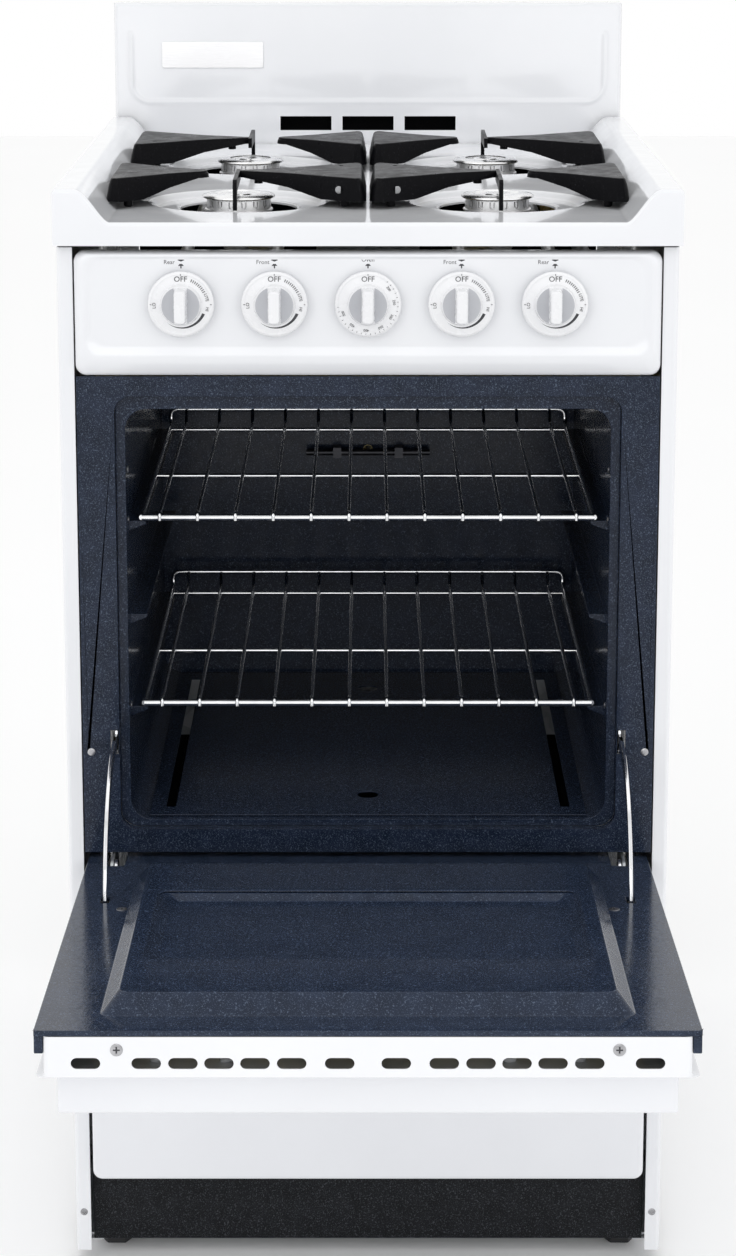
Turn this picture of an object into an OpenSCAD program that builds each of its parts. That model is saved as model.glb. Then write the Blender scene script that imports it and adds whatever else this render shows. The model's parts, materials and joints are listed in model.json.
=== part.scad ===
// Freestanding gas range of the 20 inch (508 mm) class, in millimetres.
// X runs to the right, Y into the range, Z up. Z = 0 is the floor. The oven
// door is drawn open, lying on its hinge stops, with both racks inside.

/* [Body] */
// Width over the two side panels
body_w = 508; // [440:1:620]
// Depth from the front flanges to the back of the side panels
body_d = 622; // [560:1:750]
// Height of the cooking surface above the floor
cook_h = 914; // [890:1:960]
// Gap between the floor and the side panels
foot_gap = 10; // [6:1:16]
// Thickness of the sheet steel
sheet = 1.2; // [0.8:0.1:1.6]
// Width of the folded front edge of a side panel
flange_w = 13; // [11:0.5:16]

/* [Cooktop] */
// Height of the side rims above the cooking surface
rim_h = 27; // [18:1:32]
// Width of the flat top of a side rim
rim_w = 16; // [14:1:22]
// Depth of the front apron below the cooking surface
apron_h = 19; // [16:1:24]
// Overhang of the cooktop past the front flanges
cook_overhang = 8; // [4:1:12]
// Height of the backguard above the cooking surface
guard_h = 139; // [100:1:180]
// Depth of the backguard
guard_d = 45; // [40:1:60]

/* [Burners and grates] */
// Distance of a burner centre from the middle of the range
burner_x = 110.5; // [104:0.5:114]
// Distance of the front burners from the front flanges
burner_front_y = 132; // [120:1:140]
// Distance between front and rear burners
burner_pitch = 260; // [250:1:280]
// Diameter of a burner cap
cap_dia = 62; // [50:1:68]
// Width of a grate
grate_w = 218; // [190:1:220]
// Height of the grate top above the cooking surface
grate_h = 26; // [24:1:34]

/* [Oven] */
// Inside width of the oven
oven_w = 402; // [340:1:404]
// Inside height of the oven
oven_h = 355; // [330:1:370]
// Inside depth of the oven
oven_d = 440; // [400:1:450]
// Height of the oven floor above the floor
oven_z = 402; // [400:1:410]
// Width of an oven rack
rack_w = 386; // [320:1:390]
// Depth of an oven rack
rack_d = 396; // [360:1:400]

/* [Door] */
// Width of the door
door_w = 474; // [400:1:478]
// Height of the hinge axis
hinge_z = 362; // [360:1:364]
// Distance from the hinge axis to the top of the closed door
door_top = 421; // [405:1:422]
// Thickness of the door without its liner plateau
door_t = 35; // [32:1:38]
// Angle between the closed and the open door
open_angle = 86.5; // [80:0.5:88]
// Length of the door handle
handle_l = 446; // [300:1:460]

/* [Drawer] */
// Top of the broiler drawer front
drawer_top = 318; // [300:1:320]
// Bottom of the broiler drawer front
drawer_z = 84; // [80:1:100]

/* [Knobs] */
// Distance between neighbouring knobs
knob_pitch = 76; // [66:1:80]
// Diameter of a knob skirt
knob_dia = 54; // [48:1:58]
// Distance that a knob is pressed in before it turns
knob_push = 3.5; // [2:0.5:4]

/* [Hidden] */
$fn = 48;
gap = 1;
run_gap = 0.05;
half_w = body_w / 2;
inner_w = body_w - 2 * flange_w;

// Levels of the cooktop and the panels under it
apron_z = cook_h - apron_h;
panel_top = apron_z - 2;
cook_half = half_w + 2;
rim_top = cook_h + rim_h;
rim_slope = 23;
guard_y = body_d - guard_d;
cook_back = guard_y - gap;
lift_y = guard_y - 14;
lift_z = cook_h + 16;
lift_pin_r = 3;
lift_x = cook_half - 9;

// Control panel between the cooktop and the oven front
control_z = 787;
control_top = panel_top - 3;
control_face = -8;
chin_h = 17;
knob_z = control_z + 61;
stem_r = 3;
stem_l = 44;
skirt_gap = knob_push + 1;

// Oven
oven_top = oven_z + oven_h;
oven_half = oven_w / 2;
ledge_depth = 14;
ledge_h = 7;
oven_y = 8;
oven_back = oven_y + oven_d;
frame_z = 375;
step_w = 8;
rack_wire = 2.5;
rack_bar = 3;
rack_levels = [oven_z + 92, oven_z + 254];
ledge_levels = [oven_z + 92, oven_z + 173, oven_z + 254];
rack_y = oven_y + 22;
rack_count = 12;

// Door, with the hinge axis as its own origin
hinge_y = -10;
door_bottom = -27;
door_out = -26;
door_in = door_out + door_t - 4.5;
liner_t = 4.5;
arm_x = 211;
arm_t = 3;
arm_in = 104;
arm_out = 116;
pin_r = 3;
handle_out = 37;
handle_tall = 30;
handle_drop = 24;
plateau_h = 14;

// Gas supply
manifold_y = 46;
inlet_x = half_w - 60;

// Leg and base
leg_x = half_w - 32;
leg_ys = [46, body_d - 50];
thread_r = 4;

// Burner places as [x, y], front left, front right, rear left, rear right
burners = [
    [-burner_x, burner_front_y], [burner_x, burner_front_y],
    [-burner_x, burner_front_y + burner_pitch], [burner_x, burner_front_y + burner_pitch]
];
bowl_r = 80;
bowl_h = 5;
burner_hole_r = 51;
cap_top = cook_h + 7;

// The box round the whole range, door open, has its middle at Y = 0
front_y = hinge_y + door_out * cos(open_angle) - door_top * sin(open_angle);
shift_y = -(front_y + body_d) / 2;

function knob_x(i) = (i - 2) * knob_pitch;

// ---- helpers ----

module placed() {
    translate([0, shift_y, 0]) children();
}

module both_sides() {
    children();
    mirror([1, 0, 0]) children();
}

// Block between two corners
module block(low, high) {
    translate(low) cube(high - low);
}

// Outline in X and Z, drawn from Y = y0 over a depth
module upright(y0, depth) {
    translate([0, y0 + depth, 0]) rotate([90, 0, 0]) linear_extrude(depth) children();
}

// Outline in Y and Z, drawn from X = x0 over a length
module sideways(x0, length) {
    translate([x0, 0, 0]) rotate([90, 0, 90]) linear_extrude(length) children();
}

module round_rect(low, high, r) {
    offset(r = r) translate(low + [r, r]) square(high - low - [2 * r, 2 * r]);
}

// Rod along X, Y or Z from a point
module rod_x(p, length, r) {
    translate(p) rotate([0, 90, 0]) cylinder(r = r, h = length);
}

module rod_y(p, length, r) {
    translate(p) rotate([-90, 0, 0]) cylinder(r = r, h = length);
}

module rod_z(p, length, r) {
    translate(p) cylinder(r = r, h = length);
}

// Ring sector in Y and Z about the origin, from angle a0 to a1
module ring_sector(r_in, r_out, a0, a1, x0, thickness) {
    translate([x0, 0, 0]) rotate([90, 0, 90]) rotate([0, 0, a0])
        rotate_extrude(angle = a1 - a0, $fn = 96)
            translate([r_in, 0]) square([r_out - r_in, thickness]);
}

// ---- body ----

module side_panel() {
    fold = 4;
    outline = [[0, 0], [-flange_w, 0], [-flange_w, sheet], [-sheet, sheet],
        [-sheet, body_d - sheet], [-20, body_d - sheet], [-20, body_d], [0, body_d]];
    color("white") difference() {
        union() {
            translate([half_w, 0, foot_gap]) linear_extrude(panel_top - foot_gap)
                intersection() {
                    polygon(outline);
                    translate([-40, 0]) round_rect([0, 0], [40, body_d], fold);
                }
            block([half_w - 18, 30, panel_top - sheet],
                [half_w - sheet, body_d - 60, panel_top]);
            block([half_w - 22, 20, foot_gap],
                [half_w - sheet, body_d - 20, foot_gap + sheet]);
        }
        for (y = leg_ys)
            rod_z([leg_x, y, foot_gap - 1], 4, thread_r + 2);
    }
}

module left_side_panel() {
    placed() mirror([1, 0, 0]) side_panel();
}

module right_side_panel() {
    placed() side_panel();
}

back_z = 60;

module back_panel() {
    slot = [60, 6];
    color("lightgray") placed() difference() {
        upright(body_d - 6, sheet)
            union() {
                round_rect([-half_w + 21, back_z], [half_w - 21, guard_top - 8], 6);
                round_rect([-guard_half + 2, panel_top + 4], [guard_half - 2, guard_top - 2], 3);
            }
        for (i = [0:7], j = [-1:1])
            upright(body_d - 8, 4)
                round_rect([j * 90 - slot[0] / 2, 620 + i * 18],
                    [j * 90 + slot[0] / 2, 620 + i * 18 + slot[1]], 2.9);
        upright(body_d - 8, 4) translate([inlet_x, knob_z]) circle(r = 16);
    }
}

rail_z = foot_gap + 2 * sheet + 0.4;
rail_h = 22;

module base_frame() {
    rail_x = half_w - 2 * sheet;
    color("darkgray") placed() difference() {
        union() {
            both_sides() {
                block([rail_x - 44, 24, rail_z], [rail_x, body_d - 24, rail_z + 2]);
                block([rail_x - 2, 24, rail_z], [rail_x, body_d - 24, rail_z + rail_h]);
            }
            block([-rail_x, 24, rail_z], [rail_x, 64, rail_z + 2]);
            block([-rail_x, body_d - 66, rail_z], [rail_x, body_d - 24, rail_z + 2]);
            both_sides() for (y = leg_ys)
                rod_z([leg_x, y, rail_z], 10, thread_r + 4);
        }
        both_sides() for (y = leg_ys)
            rod_z([leg_x, y, rail_z - 1], 13, thread_r + run_gap);
    }
}

module leg(side, y) {
    color("dimgray") placed() translate([side * leg_x, y, 0]) {
        cylinder(r1 = 14, r2 = 16, h = 3);
        rod_z([0, 0, 3], 3, 16);
        cylinder(r = 7.5, h = 10, $fn = 6);
        rod_z([0, 0, 0], 34, thread_r);
    }
}

module leg_front_left() {
    leg(-1, leg_ys[0]);
}

module leg_front_right() {
    leg(1, leg_ys[0]);
}

module leg_rear_left() {
    leg(-1, leg_ys[1]);
}

module leg_rear_right() {
    leg(1, leg_ys[1]);
}

kick_y = 14;
kick_half = inner_w / 2 - gap;

module kick_plate() {
    color("#2a2d30") placed() difference() {
        block([-kick_half, kick_y, foot_gap + 4], [kick_half, kick_y + 9, drawer_z - 3]);
        block([-kick_half - 1, kick_y + sheet, foot_gap + 3],
            [kick_half + 1, kick_y + 10, drawer_z - 3 - sheet]);
    }
}

// ---- oven ----

frame_half = inner_w / 2 - gap;
step_top = 12;

module oven_opening(grow) {
    round_rect([-oven_half - grow, oven_z - grow], [oven_half + grow, oven_top + grow], 18 + grow);
}

module step_opening(grow) {
    round_rect([-oven_half - step_w - grow, oven_z - 6 - grow],
        [oven_half + step_w + grow, oven_top + step_top + grow], 14 + grow);
}

module oven_front_frame() {
    color("#3a4658") placed() difference() {
        union() {
            upright(0, sheet)
                translate([-frame_half, frame_z])
                    square([2 * frame_half, control_z - gap - frame_z]);
            upright(0, oven_y) step_opening(sheet);
        }
        upright(-1, oven_y + 2) step_opening(0);
        for (side = [-1, 1]) {
            block([side * (arm_x + arm_t / 2) - 4, -1, hinge_z + arm_in - 4],
                [side * (arm_x + arm_t / 2) + 4, 3, hinge_z + arm_out + 5]);
            rod_y([side * (frame_half - 7), -1, oven_z + 62], 4, 1.6);
        }
    }
}

module ledge(side, z) {
    length = oven_d - 60;
    translate([side * oven_half, oven_y + 26, z - ledge_h])
        rotate([-90, 0, 0]) linear_extrude(length)
            polygon([[side, -ledge_h], [-side * ledge_depth, -ledge_h],
                [-side * ledge_depth, -ledge_h + 3], [side, 2]]);
}

module oven_liner() {
    color("#2f3a4a") placed() difference() {
        union() {
            difference() {
                union() {
                    upright(oven_y + sheet, oven_d) oven_opening(sheet);
                    upright(oven_y, sheet) step_opening(0);
                }
                upright(oven_y - 1, oven_d + 1) oven_opening(0);
                block([-oven_half + 26, oven_y + 14, oven_z - 4],
                    [oven_half - 26, oven_back - 14, oven_z + 2]);
            }
            intersection() {
                upright(oven_y + sheet, oven_d - sheet) oven_opening(sheet / 2);
                for (side = [-1, 1], z = ledge_levels)
                    ledge(side, z);
            }
        }
        block([-50, oven_back - 66, oven_top - 2], [50, oven_back - 26, oven_top + 3]);
        rod_y([0, oven_back - 2, oven_z + 226], 5, 5);
    }
}

floor_z = oven_z + 0.4;

module oven_floor() {
    slot_x = oven_half - 32;
    color("#2f3a4a") placed() difference() {
        block([-oven_half + 15, oven_y + 7, floor_z],
            [oven_half - 15, oven_back - 7, floor_z + sheet]);
        for (side = [-1, 1])
            block([side * slot_x - 4, oven_y + 28, floor_z - 1],
                [side * slot_x + 4, oven_back - 28, floor_z + 3]);
        for (y = [oven_y + 60, oven_back - 60])
            rod_z([0, y, floor_z - 1], 4, 9);
    }
}

box_top = oven_z - sheet - 0.4;
box_z = 338;

module burner_box() {
    half = oven_half - 3;
    y0 = 34;
    color("#4a5058") placed() difference() {
        block([-half, y0, box_z], [half, oven_back, box_top]);
        block([-half + sheet, y0 + sheet, box_z - 1], [half - sheet, oven_back - sheet, box_top + 1]);
        rod_y([0, oven_back - 4, box_z + 34], 8, 12);
        rod_y([60, oven_back - 4, box_z + 34], 8, 4);
    }
}

burner_tube_z = box_z + 34;

module oven_burner() {
    y0 = 96;
    color("silver") placed() difference() {
        rod_y([0, y0, burner_tube_z], oven_back + 34 - y0, 11.5);
        rod_y([0, y0 + 2, burner_tube_z], oven_back + 40 - y0, 10);
        for (side = [-1, 1], i = [0:13])
            rod_x([side > 0 ? 5 : -20, y0 + 24 + i * 21, burner_tube_z + 3], 15, 1.6);
    }
}

module flame_spreader() {
    z = box_top - 8;
    color("#4a5058") placed() {
        translate([0, 60, 0]) rotate([-90, 0, 0]) linear_extrude(oven_d - 86)
            polygon([[-110, -z + 6], [0, -z], [110, -z + 6], [110, -z + 7.5], [0, -z + 1.5],
                [-110, -z + 7.5]]);
        for (side = [-1, 1])
            block([side * 108 - 2, 60, box_z + 6], [side * 108 + 2, 66, z - 6]);
    }
}

module oven_igniter() {
    color("ivory") placed() union() {
        block([26, 260, burner_tube_z - 5], [36, 300, burner_tube_z + 5]);
        block([28, 200, burner_tube_z - 3], [34, 260, burner_tube_z + 3]);
        block([24, 290, burner_tube_z - 9], [26.5, 330, burner_tube_z + 7]);
    }
}

bulb_z = oven_z + 226;

module thermostat_bulb() {
    color("silver") placed() union() {
        rod_x([-60, oven_back - 12, bulb_z], 120, 3);
        rod_y([0, oven_back - 12, bulb_z], 26, 2);
        for (x = [-30, 30])
            block([x - 4, oven_back - 15, bulb_z - 5], [x + 4, oven_back, bulb_z + 5]);
    }
}

module oven_insulation() {
    out = 25;
    z0 = oven_z + 92;
    y0 = 24;
    color("khaki") placed() difference() {
        block([-oven_half - out, y0, z0], [oven_half + out, oven_back + out, oven_top + out]);
        block([-oven_half - 2, y0 - 1, z0 - 1], [oven_half + 2, oven_back + 2, oven_top + 2]);
        block([-54, oven_back - 70, oven_top], [54, oven_back + out + 1, oven_top + out + 1]);
        rod_y([0, oven_back - 2, bulb_z], out + 5, 4);
    }
}

vent_z = cook_h + 13;
vent_h = 14;
vent_w = 51;
vent_pitch = 62;

module flue_duct() {
    z0 = oven_top + 2;
    y0 = oven_back - 70;
    turn_y = guard_y + 8;
    color("lightgray") placed() difference() {
        union() {
            block([-52, y0, z0], [52, turn_y + 28, z0 + 40]);
            block([-52, turn_y, z0], [52, turn_y + 28, cook_h - 4]);
        }
        block([-50.8, y0 + sheet, z0 + sheet], [50.8, turn_y + 26.8, z0 + 38.8]);
        block([-50.8, turn_y + sheet, z0 + sheet], [50.8, turn_y + 26.8, cook_h]);
        block([-48, y0 + 6, z0 - 1], [48, y0 + 44, z0 + 3]);
    }
}

// ---- backguard ----

guard_half = half_w - 2;
guard_top = cook_h + guard_h;

module backguard() {
    line = 3;
    inset = 17;
    color("white") placed() difference() {
        union() {
            difference() {
                upright(guard_y, guard_d - 7)
                    round_rect([-guard_half, panel_top + 1], [guard_half, guard_top], 3);
                upright(guard_y + sheet, guard_d)
                    round_rect([-guard_half + sheet, panel_top - 10],
                        [guard_half - sheet, guard_top - sheet], 2);
            }
            upright(guard_y - 1, 1) intersection() {
                difference() {
                    round_rect([-guard_half + inset, cook_h + 40],
                        [guard_half - inset, guard_top + 60], 18);
                    round_rect([-guard_half + inset + line, cook_h + 40 + line],
                        [guard_half - inset - line, guard_top + 80], 15);
                }
                translate([-300, cook_h]) square([600, guard_h - 26]);
            }
        }
        for (i = [-1:1])
            block([i * vent_pitch - vent_w / 2, guard_y - 2, vent_z],
                [i * vent_pitch + vent_w / 2, guard_y + 3, vent_z + vent_h]);
    }
}

module name_plate() {
    color("whitesmoke") placed()
        upright(guard_y - 1.2, 1.2)
            round_rect([-205, cook_h + 75], [-104, cook_h + 101], 1.5);
}

// ---- control panel ----

control_half = inner_w / 2 - gap;

module control_outline(grow) {
    round_rect([-control_half + grow, control_z + grow], [control_half - grow, control_top - grow], 9);
}

// Side outline of the panel: flat face, shallow dish, then a chin that slopes back
module control_profile(wall) {
    f = control_face + wall;
    polygon([[sheet + 6, control_z + wall], [-0.5 + wall, control_z + wall],
        [f, control_z + chin_h], [f + 1.2, control_z + chin_h + 9],
        [f + 1.2, control_top - 14], [f, control_top - 6], [f + 1, control_top - wall],
        [sheet + 6, control_top - wall]]);
}

module control_panel() {
    depth = sheet + 6 - control_face;
    color("white") placed() difference() {
        intersection() {
            sideways(-control_half, 2 * control_half) control_profile(0);
            upright(control_face - 1, depth + 2) control_outline(0);
        }
        intersection() {
            sideways(-control_half, 2 * control_half) translate([0.001, 0]) control_profile(sheet);
            upright(control_face - 1, depth + 4) control_outline(sheet);
        }
        block([-control_half + 3, sheet + 5, control_z + 3],
            [control_half - 3, sheet + 8, control_top - 3]);
        for (i = [0:4])
            rod_y([knob_x(i), control_face - 3, knob_z], 12, 6);
    }
}

// ---- gas train ----

manifold_r = 8;

module gas_manifold() {
    reach = half_w - 40;
    color("silver") placed() difference() {
        union() {
            rod_x([-reach, manifold_y, knob_z], 2 * reach, manifold_r);
            rod_y([inlet_x, manifold_y, knob_z], body_d - 92 - manifold_y, manifold_r - 1);
        }
        rod_x([-reach + 3, manifold_y, knob_z], 2 * reach - 6, manifold_r - 2);
        rod_y([inlet_x, manifold_y, knob_z], body_d, manifold_r - 3);
    }
}

valve_front = 14;

module gas_valves() {
    color("goldenrod") placed() for (i = [0:4]) {
        x = knob_x(i);
        difference() {
            union() {
                rod_y([x, valve_front, knob_z], manifold_y - manifold_r - valve_front, 9);
                if (i == 2)
                    block([x - 18, valve_front + 5, knob_z - 16], [x + 18, valve_front + 20, knob_z + 16]);
                else
                    rod_z([x, valve_front + 12, knob_z + 6], 14, 4.5);
            }
            rod_y([x, valve_front - 1, knob_z], 14, stem_r + 1.5 + run_gap);
            rod_y([x, valve_front + 12, knob_z], 13, 4);
        }
    }
}

module valve_stem(i) {
    x = knob_x(i);
    color("silver") placed() difference() {
        union() {
            rod_y([x, valve_front + 11.5 - stem_l, knob_z], stem_l - 7.5, stem_r);
            rod_y([x, valve_front + 1, knob_z], 11.5, stem_r + 1.5);
        }
        block([x - 5, valve_front + 10 - stem_l, knob_z + 1.6],
            [x + 5, valve_front - 16, knob_z + 5]);
    }
}

module valve_stem_1() {
    valve_stem(0);
}

module valve_stem_2() {
    valve_stem(1);
}

module valve_stem_3() {
    valve_stem(2);
}

module valve_stem_4() {
    valve_stem(3);
}

module valve_stem_5() {
    valve_stem(4);
}

// The skirt stands clear of the panel by the push travel and a little more
module knob(i) {
    x = knob_x(i);
    back = control_face - skirt_gap;
    color("white") placed() translate([x, back, knob_z]) difference() {
        union() {
            rotate([90, 0, 0]) cylinder(r1 = knob_dia / 2, r2 = knob_dia / 2 - 1.5, h = 3);
            rotate([90, 0, 0]) cylinder(r1 = 16.5, r2 = 14.5, h = 8);
            intersection() {
                rotate([90, 0, 0]) cylinder(r = 14, h = 21);
                block([-5.2, -21, -15], [5.2, 0, 15]);
            }
        }
        rotate([90, 0, 0]) translate([0, 0, -1]) cylinder(r = stem_r + run_gap, h = 18);
    }
}

module knob_1() {
    knob(0);
}

module knob_2() {
    knob(1);
}

module knob_3() {
    knob(2);
}

module knob_4() {
    knob(3);
}

module knob_5() {
    knob(4);
}

head_z = cook_h - bowl_h - 14;
tube_z = head_z - 16;

// Front burners are fed by the inner valves and rear burners by the outer ones
tube_valve = [1, 3, 0, 4];

module burner_tubes() {
    color("silver") placed() for (k = [0:3]) {
        b = burners[k];
        vx = knob_x(tube_valve[k]);
        y0 = valve_front + 6;
        turn_y = b[1] - 30;
        difference() {
            union() {
                rod_y([vx, y0, tube_z], turn_y - y0, 5);
                translate([vx, turn_y, tube_z]) sphere(r = 5);
                hull() {
                    translate([vx, turn_y, tube_z]) sphere(r = 5, $fn = 16);
                    translate([b[0], b[1], tube_z]) sphere(r = 5, $fn = 16);
                }
                rod_z([b[0], b[1], tube_z - 6], head_z - tube_z + 6, 13);
            }
            rod_z([b[0], b[1], tube_z - 1], head_z - tube_z + 2, 10);
            rod_y([vx, y0 - 1, tube_z], 24, 3.5);
        }
    }
}

port_count = 20;

module burner_heads() {
    head_r = cap_dia / 2 - 4;
    color("silver") placed() for (b = burners)
        translate([b[0], b[1], head_z]) difference() {
            union() {
                cylinder(r = 24, h = 8);
                translate([0, 0, 8]) cylinder(r1 = 24, r2 = head_r, h = 3);
                translate([0, 0, 11]) cylinder(r = head_r, h = cap_top - head_z - 15);
            }
            translate([0, 0, -1]) cylinder(r = 18, h = 40);
            for (a = [0:port_count - 1])
                rotate([0, 0, (a + 0.5) * 360 / port_count])
                    block([14, -1.3, 13], [40, 1.3, 40]);
        }
}

module burner_caps() {
    color("gainsboro") placed() for (b = burners)
        translate([b[0], b[1], cap_top - 4]) rotate_extrude()
            polygon([[0, 0], [cap_dia / 2 - 1, 0], [cap_dia / 2, 1], [cap_dia / 2, 2.4],
                [cap_dia / 2 - 2, 3.6], [20, 4], [18, 3], [12, 3], [10, 4], [0, 4]]);
}

module gas_inlet() {
    x = inlet_x;
    y = body_d - 92;
    color("goldenrod") placed() difference() {
        union() {
            block([x - 24, y, knob_z - 18], [x + 24, y + 42, knob_z + 18]);
            rod_y([x, y + 42, knob_z], 34, 10);
            rod_z([x, y + 21, knob_z + 18], 12, 12);
        }
        rod_y([x, y + 50, knob_z], 40, 7);
    }
}

module cooktop_hinges() {
    color("silver") placed() both_sides() {
        block([lift_x - 1, lift_y - 6, panel_top], [lift_x + 1, guard_y, panel_top + 2]);
        block([lift_x - 1, lift_y - 5, panel_top], [lift_x + 1, lift_y + 5, lift_z + 5]);
        rod_x([lift_x - 5, lift_y, lift_z], 4.5, lift_pin_r);
    }
}

module hinge_brackets() {
    x = arm_x + arm_t + 0.6;
    color("silver") placed() both_sides() {
        translate([0, hinge_y, hinge_z]) {
            block([x, 0, -11], [x + 2.5, 46, 11]);
            rod_x([x, 0, 0], 2.5, 11);
            rod_x([arm_x - 3, 0, 0], arm_t + 4.1, pin_r);
            rod_x([arm_x - 4, 0, 0], 2, pin_r + 2);
        }
        block([x, 24, hinge_z - 22], [x + 2.5, 34, hinge_z + 11]);
        block([x, 24, hinge_z - 22], [half_w - sheet, 34, hinge_z - 19.5]);
    }
}

rail_y = [40, 440];
drawer_half = inner_w / 2 - 4;
carriage_half = 196;

module drawer_rails() {
    color("lightgray") placed() both_sides() {
        block([half_w - sheet - 2, rail_y[0], 150], [half_w - sheet, rail_y[1], 180]);
        block([carriage_half + 4, rail_y[0], 158], [half_w - sheet, rail_y[1], 160]);
    }
}

module screw(p, r, head_h) {
    translate(p) rotate([90, 0, 0]) difference() {
        cylinder(r1 = r, r2 = r * 0.7, h = head_h);
        for (a = [0, 90])
            rotate([0, 0, a]) block([-r * 0.5, -0.4, head_h / 2], [r * 0.5, 0.4, r]);
    }
}

module panel_screws() {
    color("silver") placed() {
        both_sides() {
            screw([frame_half - 7, 0, oven_z + 62], 3.2, 0.6);
            screw([inner_w / 2 + 6, 0, 46], 3, 1.5);
        }
        for (x = [-180, -60, 60, 180], z = [back_z + 12, panel_top - 14])
            rotate([0, 0, 180]) screw([x, -body_d + 6 - sheet, z], 3.5, 1.7);
    }
}

// ---- cooktop and grates ----

module cook_section(wall) {
    w = cook_half - wall;
    h = rim_top - wall;
    polygon([[-w, apron_z - 10], [-w, h - 2], [-w + 2, h], [-w + rim_w - wall, h],
        [-w + rim_w - wall + rim_slope * 0.75, cook_h - wall + 5],
        [-w + rim_w + rim_slope + 4, cook_h - wall],
        [w - rim_w - rim_slope - 4, cook_h - wall],
        [w - rim_w + wall - rim_slope * 0.75, cook_h - wall + 5],
        [w - rim_w + wall, h], [w - 2, h], [w, h - 2], [w, apron_z - 10]]);
}

module cooktop() {
    rear_cut = 8;
    color("white") placed() difference() {
        union() {
            difference() {
                upright(-cook_overhang, cook_back + cook_overhang) cook_section(0);
                upright(-cook_overhang + sheet, cook_back + cook_overhang) cook_section(sheet);
            }
            for (b = burners)
                translate([b[0], b[1], cook_h - bowl_h - sheet])
                    cylinder(r = bowl_r - 4, h = bowl_h + sheet / 2);
            both_sides()
                block([lift_x - 4.4, lift_y - 5, lift_z - 5], [lift_x - 1.6, lift_y + 5, rim_top - 0.6]);
        }
        block([-cook_half - 1, -cook_overhang - 1, apron_z - 20], [cook_half + 1, body_d, apron_z]);
        for (b = burners) {
            translate([b[0], b[1], cook_h - bowl_h])
                cylinder(r1 = bowl_r - 8, r2 = bowl_r - 4, h = bowl_h + 1);
            rod_z([b[0], b[1], cook_h - 20], 40, burner_hole_r);
        }
        both_sides() {
            rod_x([lift_x - 6, lift_y, lift_z], 6, lift_pin_r + run_gap);
            sideways(cook_half - 60, 70)
                polygon([[cook_back - rear_cut, rim_top + 1], [cook_back + 1, rim_top + 1],
                    [cook_back + 1, cook_h + 4], [cook_back - 0.5, cook_h + 4]]);
            block([cook_half - 30, lift_y - 14, apron_z - 5], [cook_half - sheet - 0.4, body_d, cook_h - 8]);
            block([cook_half - 4, lift_y + 2, apron_z - 5], [cook_half + 4, body_d, cook_h - 8]);
        }
    }
}

grate_t = 2.5;
arm_wide = 118;
arm_tip = 14;
skirt_flare = 6;
skirt_h = 19;
finger_reach = arm_wide / 2 + 15;

// One wedge arm: a plate that narrows towards the burner, with folded skirts and a foot
module grate_arm(reach) {
    top = grate_h;
    outer = grate_w / 2 - skirt_flare;
    wedge = [[outer, -arm_wide / 2], [outer, arm_wide / 2], [reach, arm_tip / 2], [reach, -arm_tip / 2]];
    difference() {
        hull() {
            translate([0, 0, top - grate_t]) linear_extrude(grate_t)
                offset(r = 4, $fn = 24) offset(delta = -4) polygon(wedge);
            translate([0, 0, top - skirt_h]) linear_extrude(1)
                offset(r = 4, $fn = 24) offset(delta = skirt_flare - 4) polygon(wedge);
        }
        hull() {
            translate([0, 0, top - grate_t - 1]) linear_extrude(1)
                offset(delta = -2.4) polygon(wedge);
            translate([0, 0, top - skirt_h - 1]) linear_extrude(1)
                offset(delta = skirt_flare - 2.2) polygon(wedge);
        }
    }
    for (s = [-1, 1])
        translate([outer - 26, s * (arm_wide / 2 - 11), 0.6])
            cylinder(r = 4, h = top - grate_t);
}

// A grate with its long arm on the +X side and its finger towards -Y
module grate() {
    difference() {
        union() {
            grate_arm(4);
            mirror([1, 0, 0]) grate_arm(38);
            block([2, -8, grate_h - 12], [8, 8, grate_h]);
            block([1, -finger_reach, grate_h - 10], [5, 0, grate_h]);
            block([1, -finger_reach, 0.6], [5, 7 - finger_reach, grate_h]);
        }
        translate([0, 0, -1]) cylinder(r = cap_dia / 2 + 8, h = grate_h - 11);
        translate([grate_w / 2 - 24, -arm_wide / 2 + 18, 0]) cylinder(r = 3.4, h = 60);
    }
}

module placed_grate(k) {
    color("#15171a") placed() translate([burners[k][0], burners[k][1], cook_h])
        children();
}

module grate_front_left() {
    placed_grate(0) grate();
}

module grate_front_right() {
    placed_grate(1) mirror([1, 0, 0]) grate();
}

module grate_rear_left() {
    placed_grate(2) rotate([0, 0, 180]) grate();
}

module grate_rear_right() {
    placed_grate(3) rotate([0, 0, 180]) mirror([1, 0, 0]) grate();
}

// ---- door, drawn closed about the hinge axis and then swung open ----

module swung_open() {
    placed() translate([0, hinge_y, hinge_z]) rotate([open_angle, 0, 0]) children();
}

skin_half = door_w / 2 - 7;
// Places of the air slots and screws along the door's free edge, out from its middle
slot_steps = [20, 54, 80, 105.5, 131, 157, 200];
edge_screw_x = 178;
edge_slot_y = -15;
edge_screw_y = -5;

// Room for the hinge bracket finger through the lower edge of the door
module finger_room() {
    both_sides()
        block([arm_x - 6, -15, door_bottom - 2], [arm_x + arm_t + 6, door_in + liner_t + 1, 15]);
}

module door_skin() {
    color("white") swung_open() difference() {
        union() {
            upright(door_out, door_in - door_out)
                round_rect([-skin_half, door_bottom], [skin_half, door_top], 5);
            upright(door_out, sheet)
                round_rect([-door_w / 2 + 1, door_bottom], [door_w / 2 - 1, door_top], 5);
        }
        upright(door_out + sheet, door_t + 10)
            round_rect([-skin_half + sheet, door_bottom + sheet],
                [skin_half - sheet, door_top - sheet], 4);
        for (s = [-1, 1], x = slot_steps)
            translate([s * x, edge_slot_y, door_top - 5]) linear_extrude(10)
                hull() {
                    translate([-6.4, 0]) circle(r = 4.1);
                    translate([6.4, 0]) circle(r = 4.1);
                }
        finger_room();
    }
}

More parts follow.
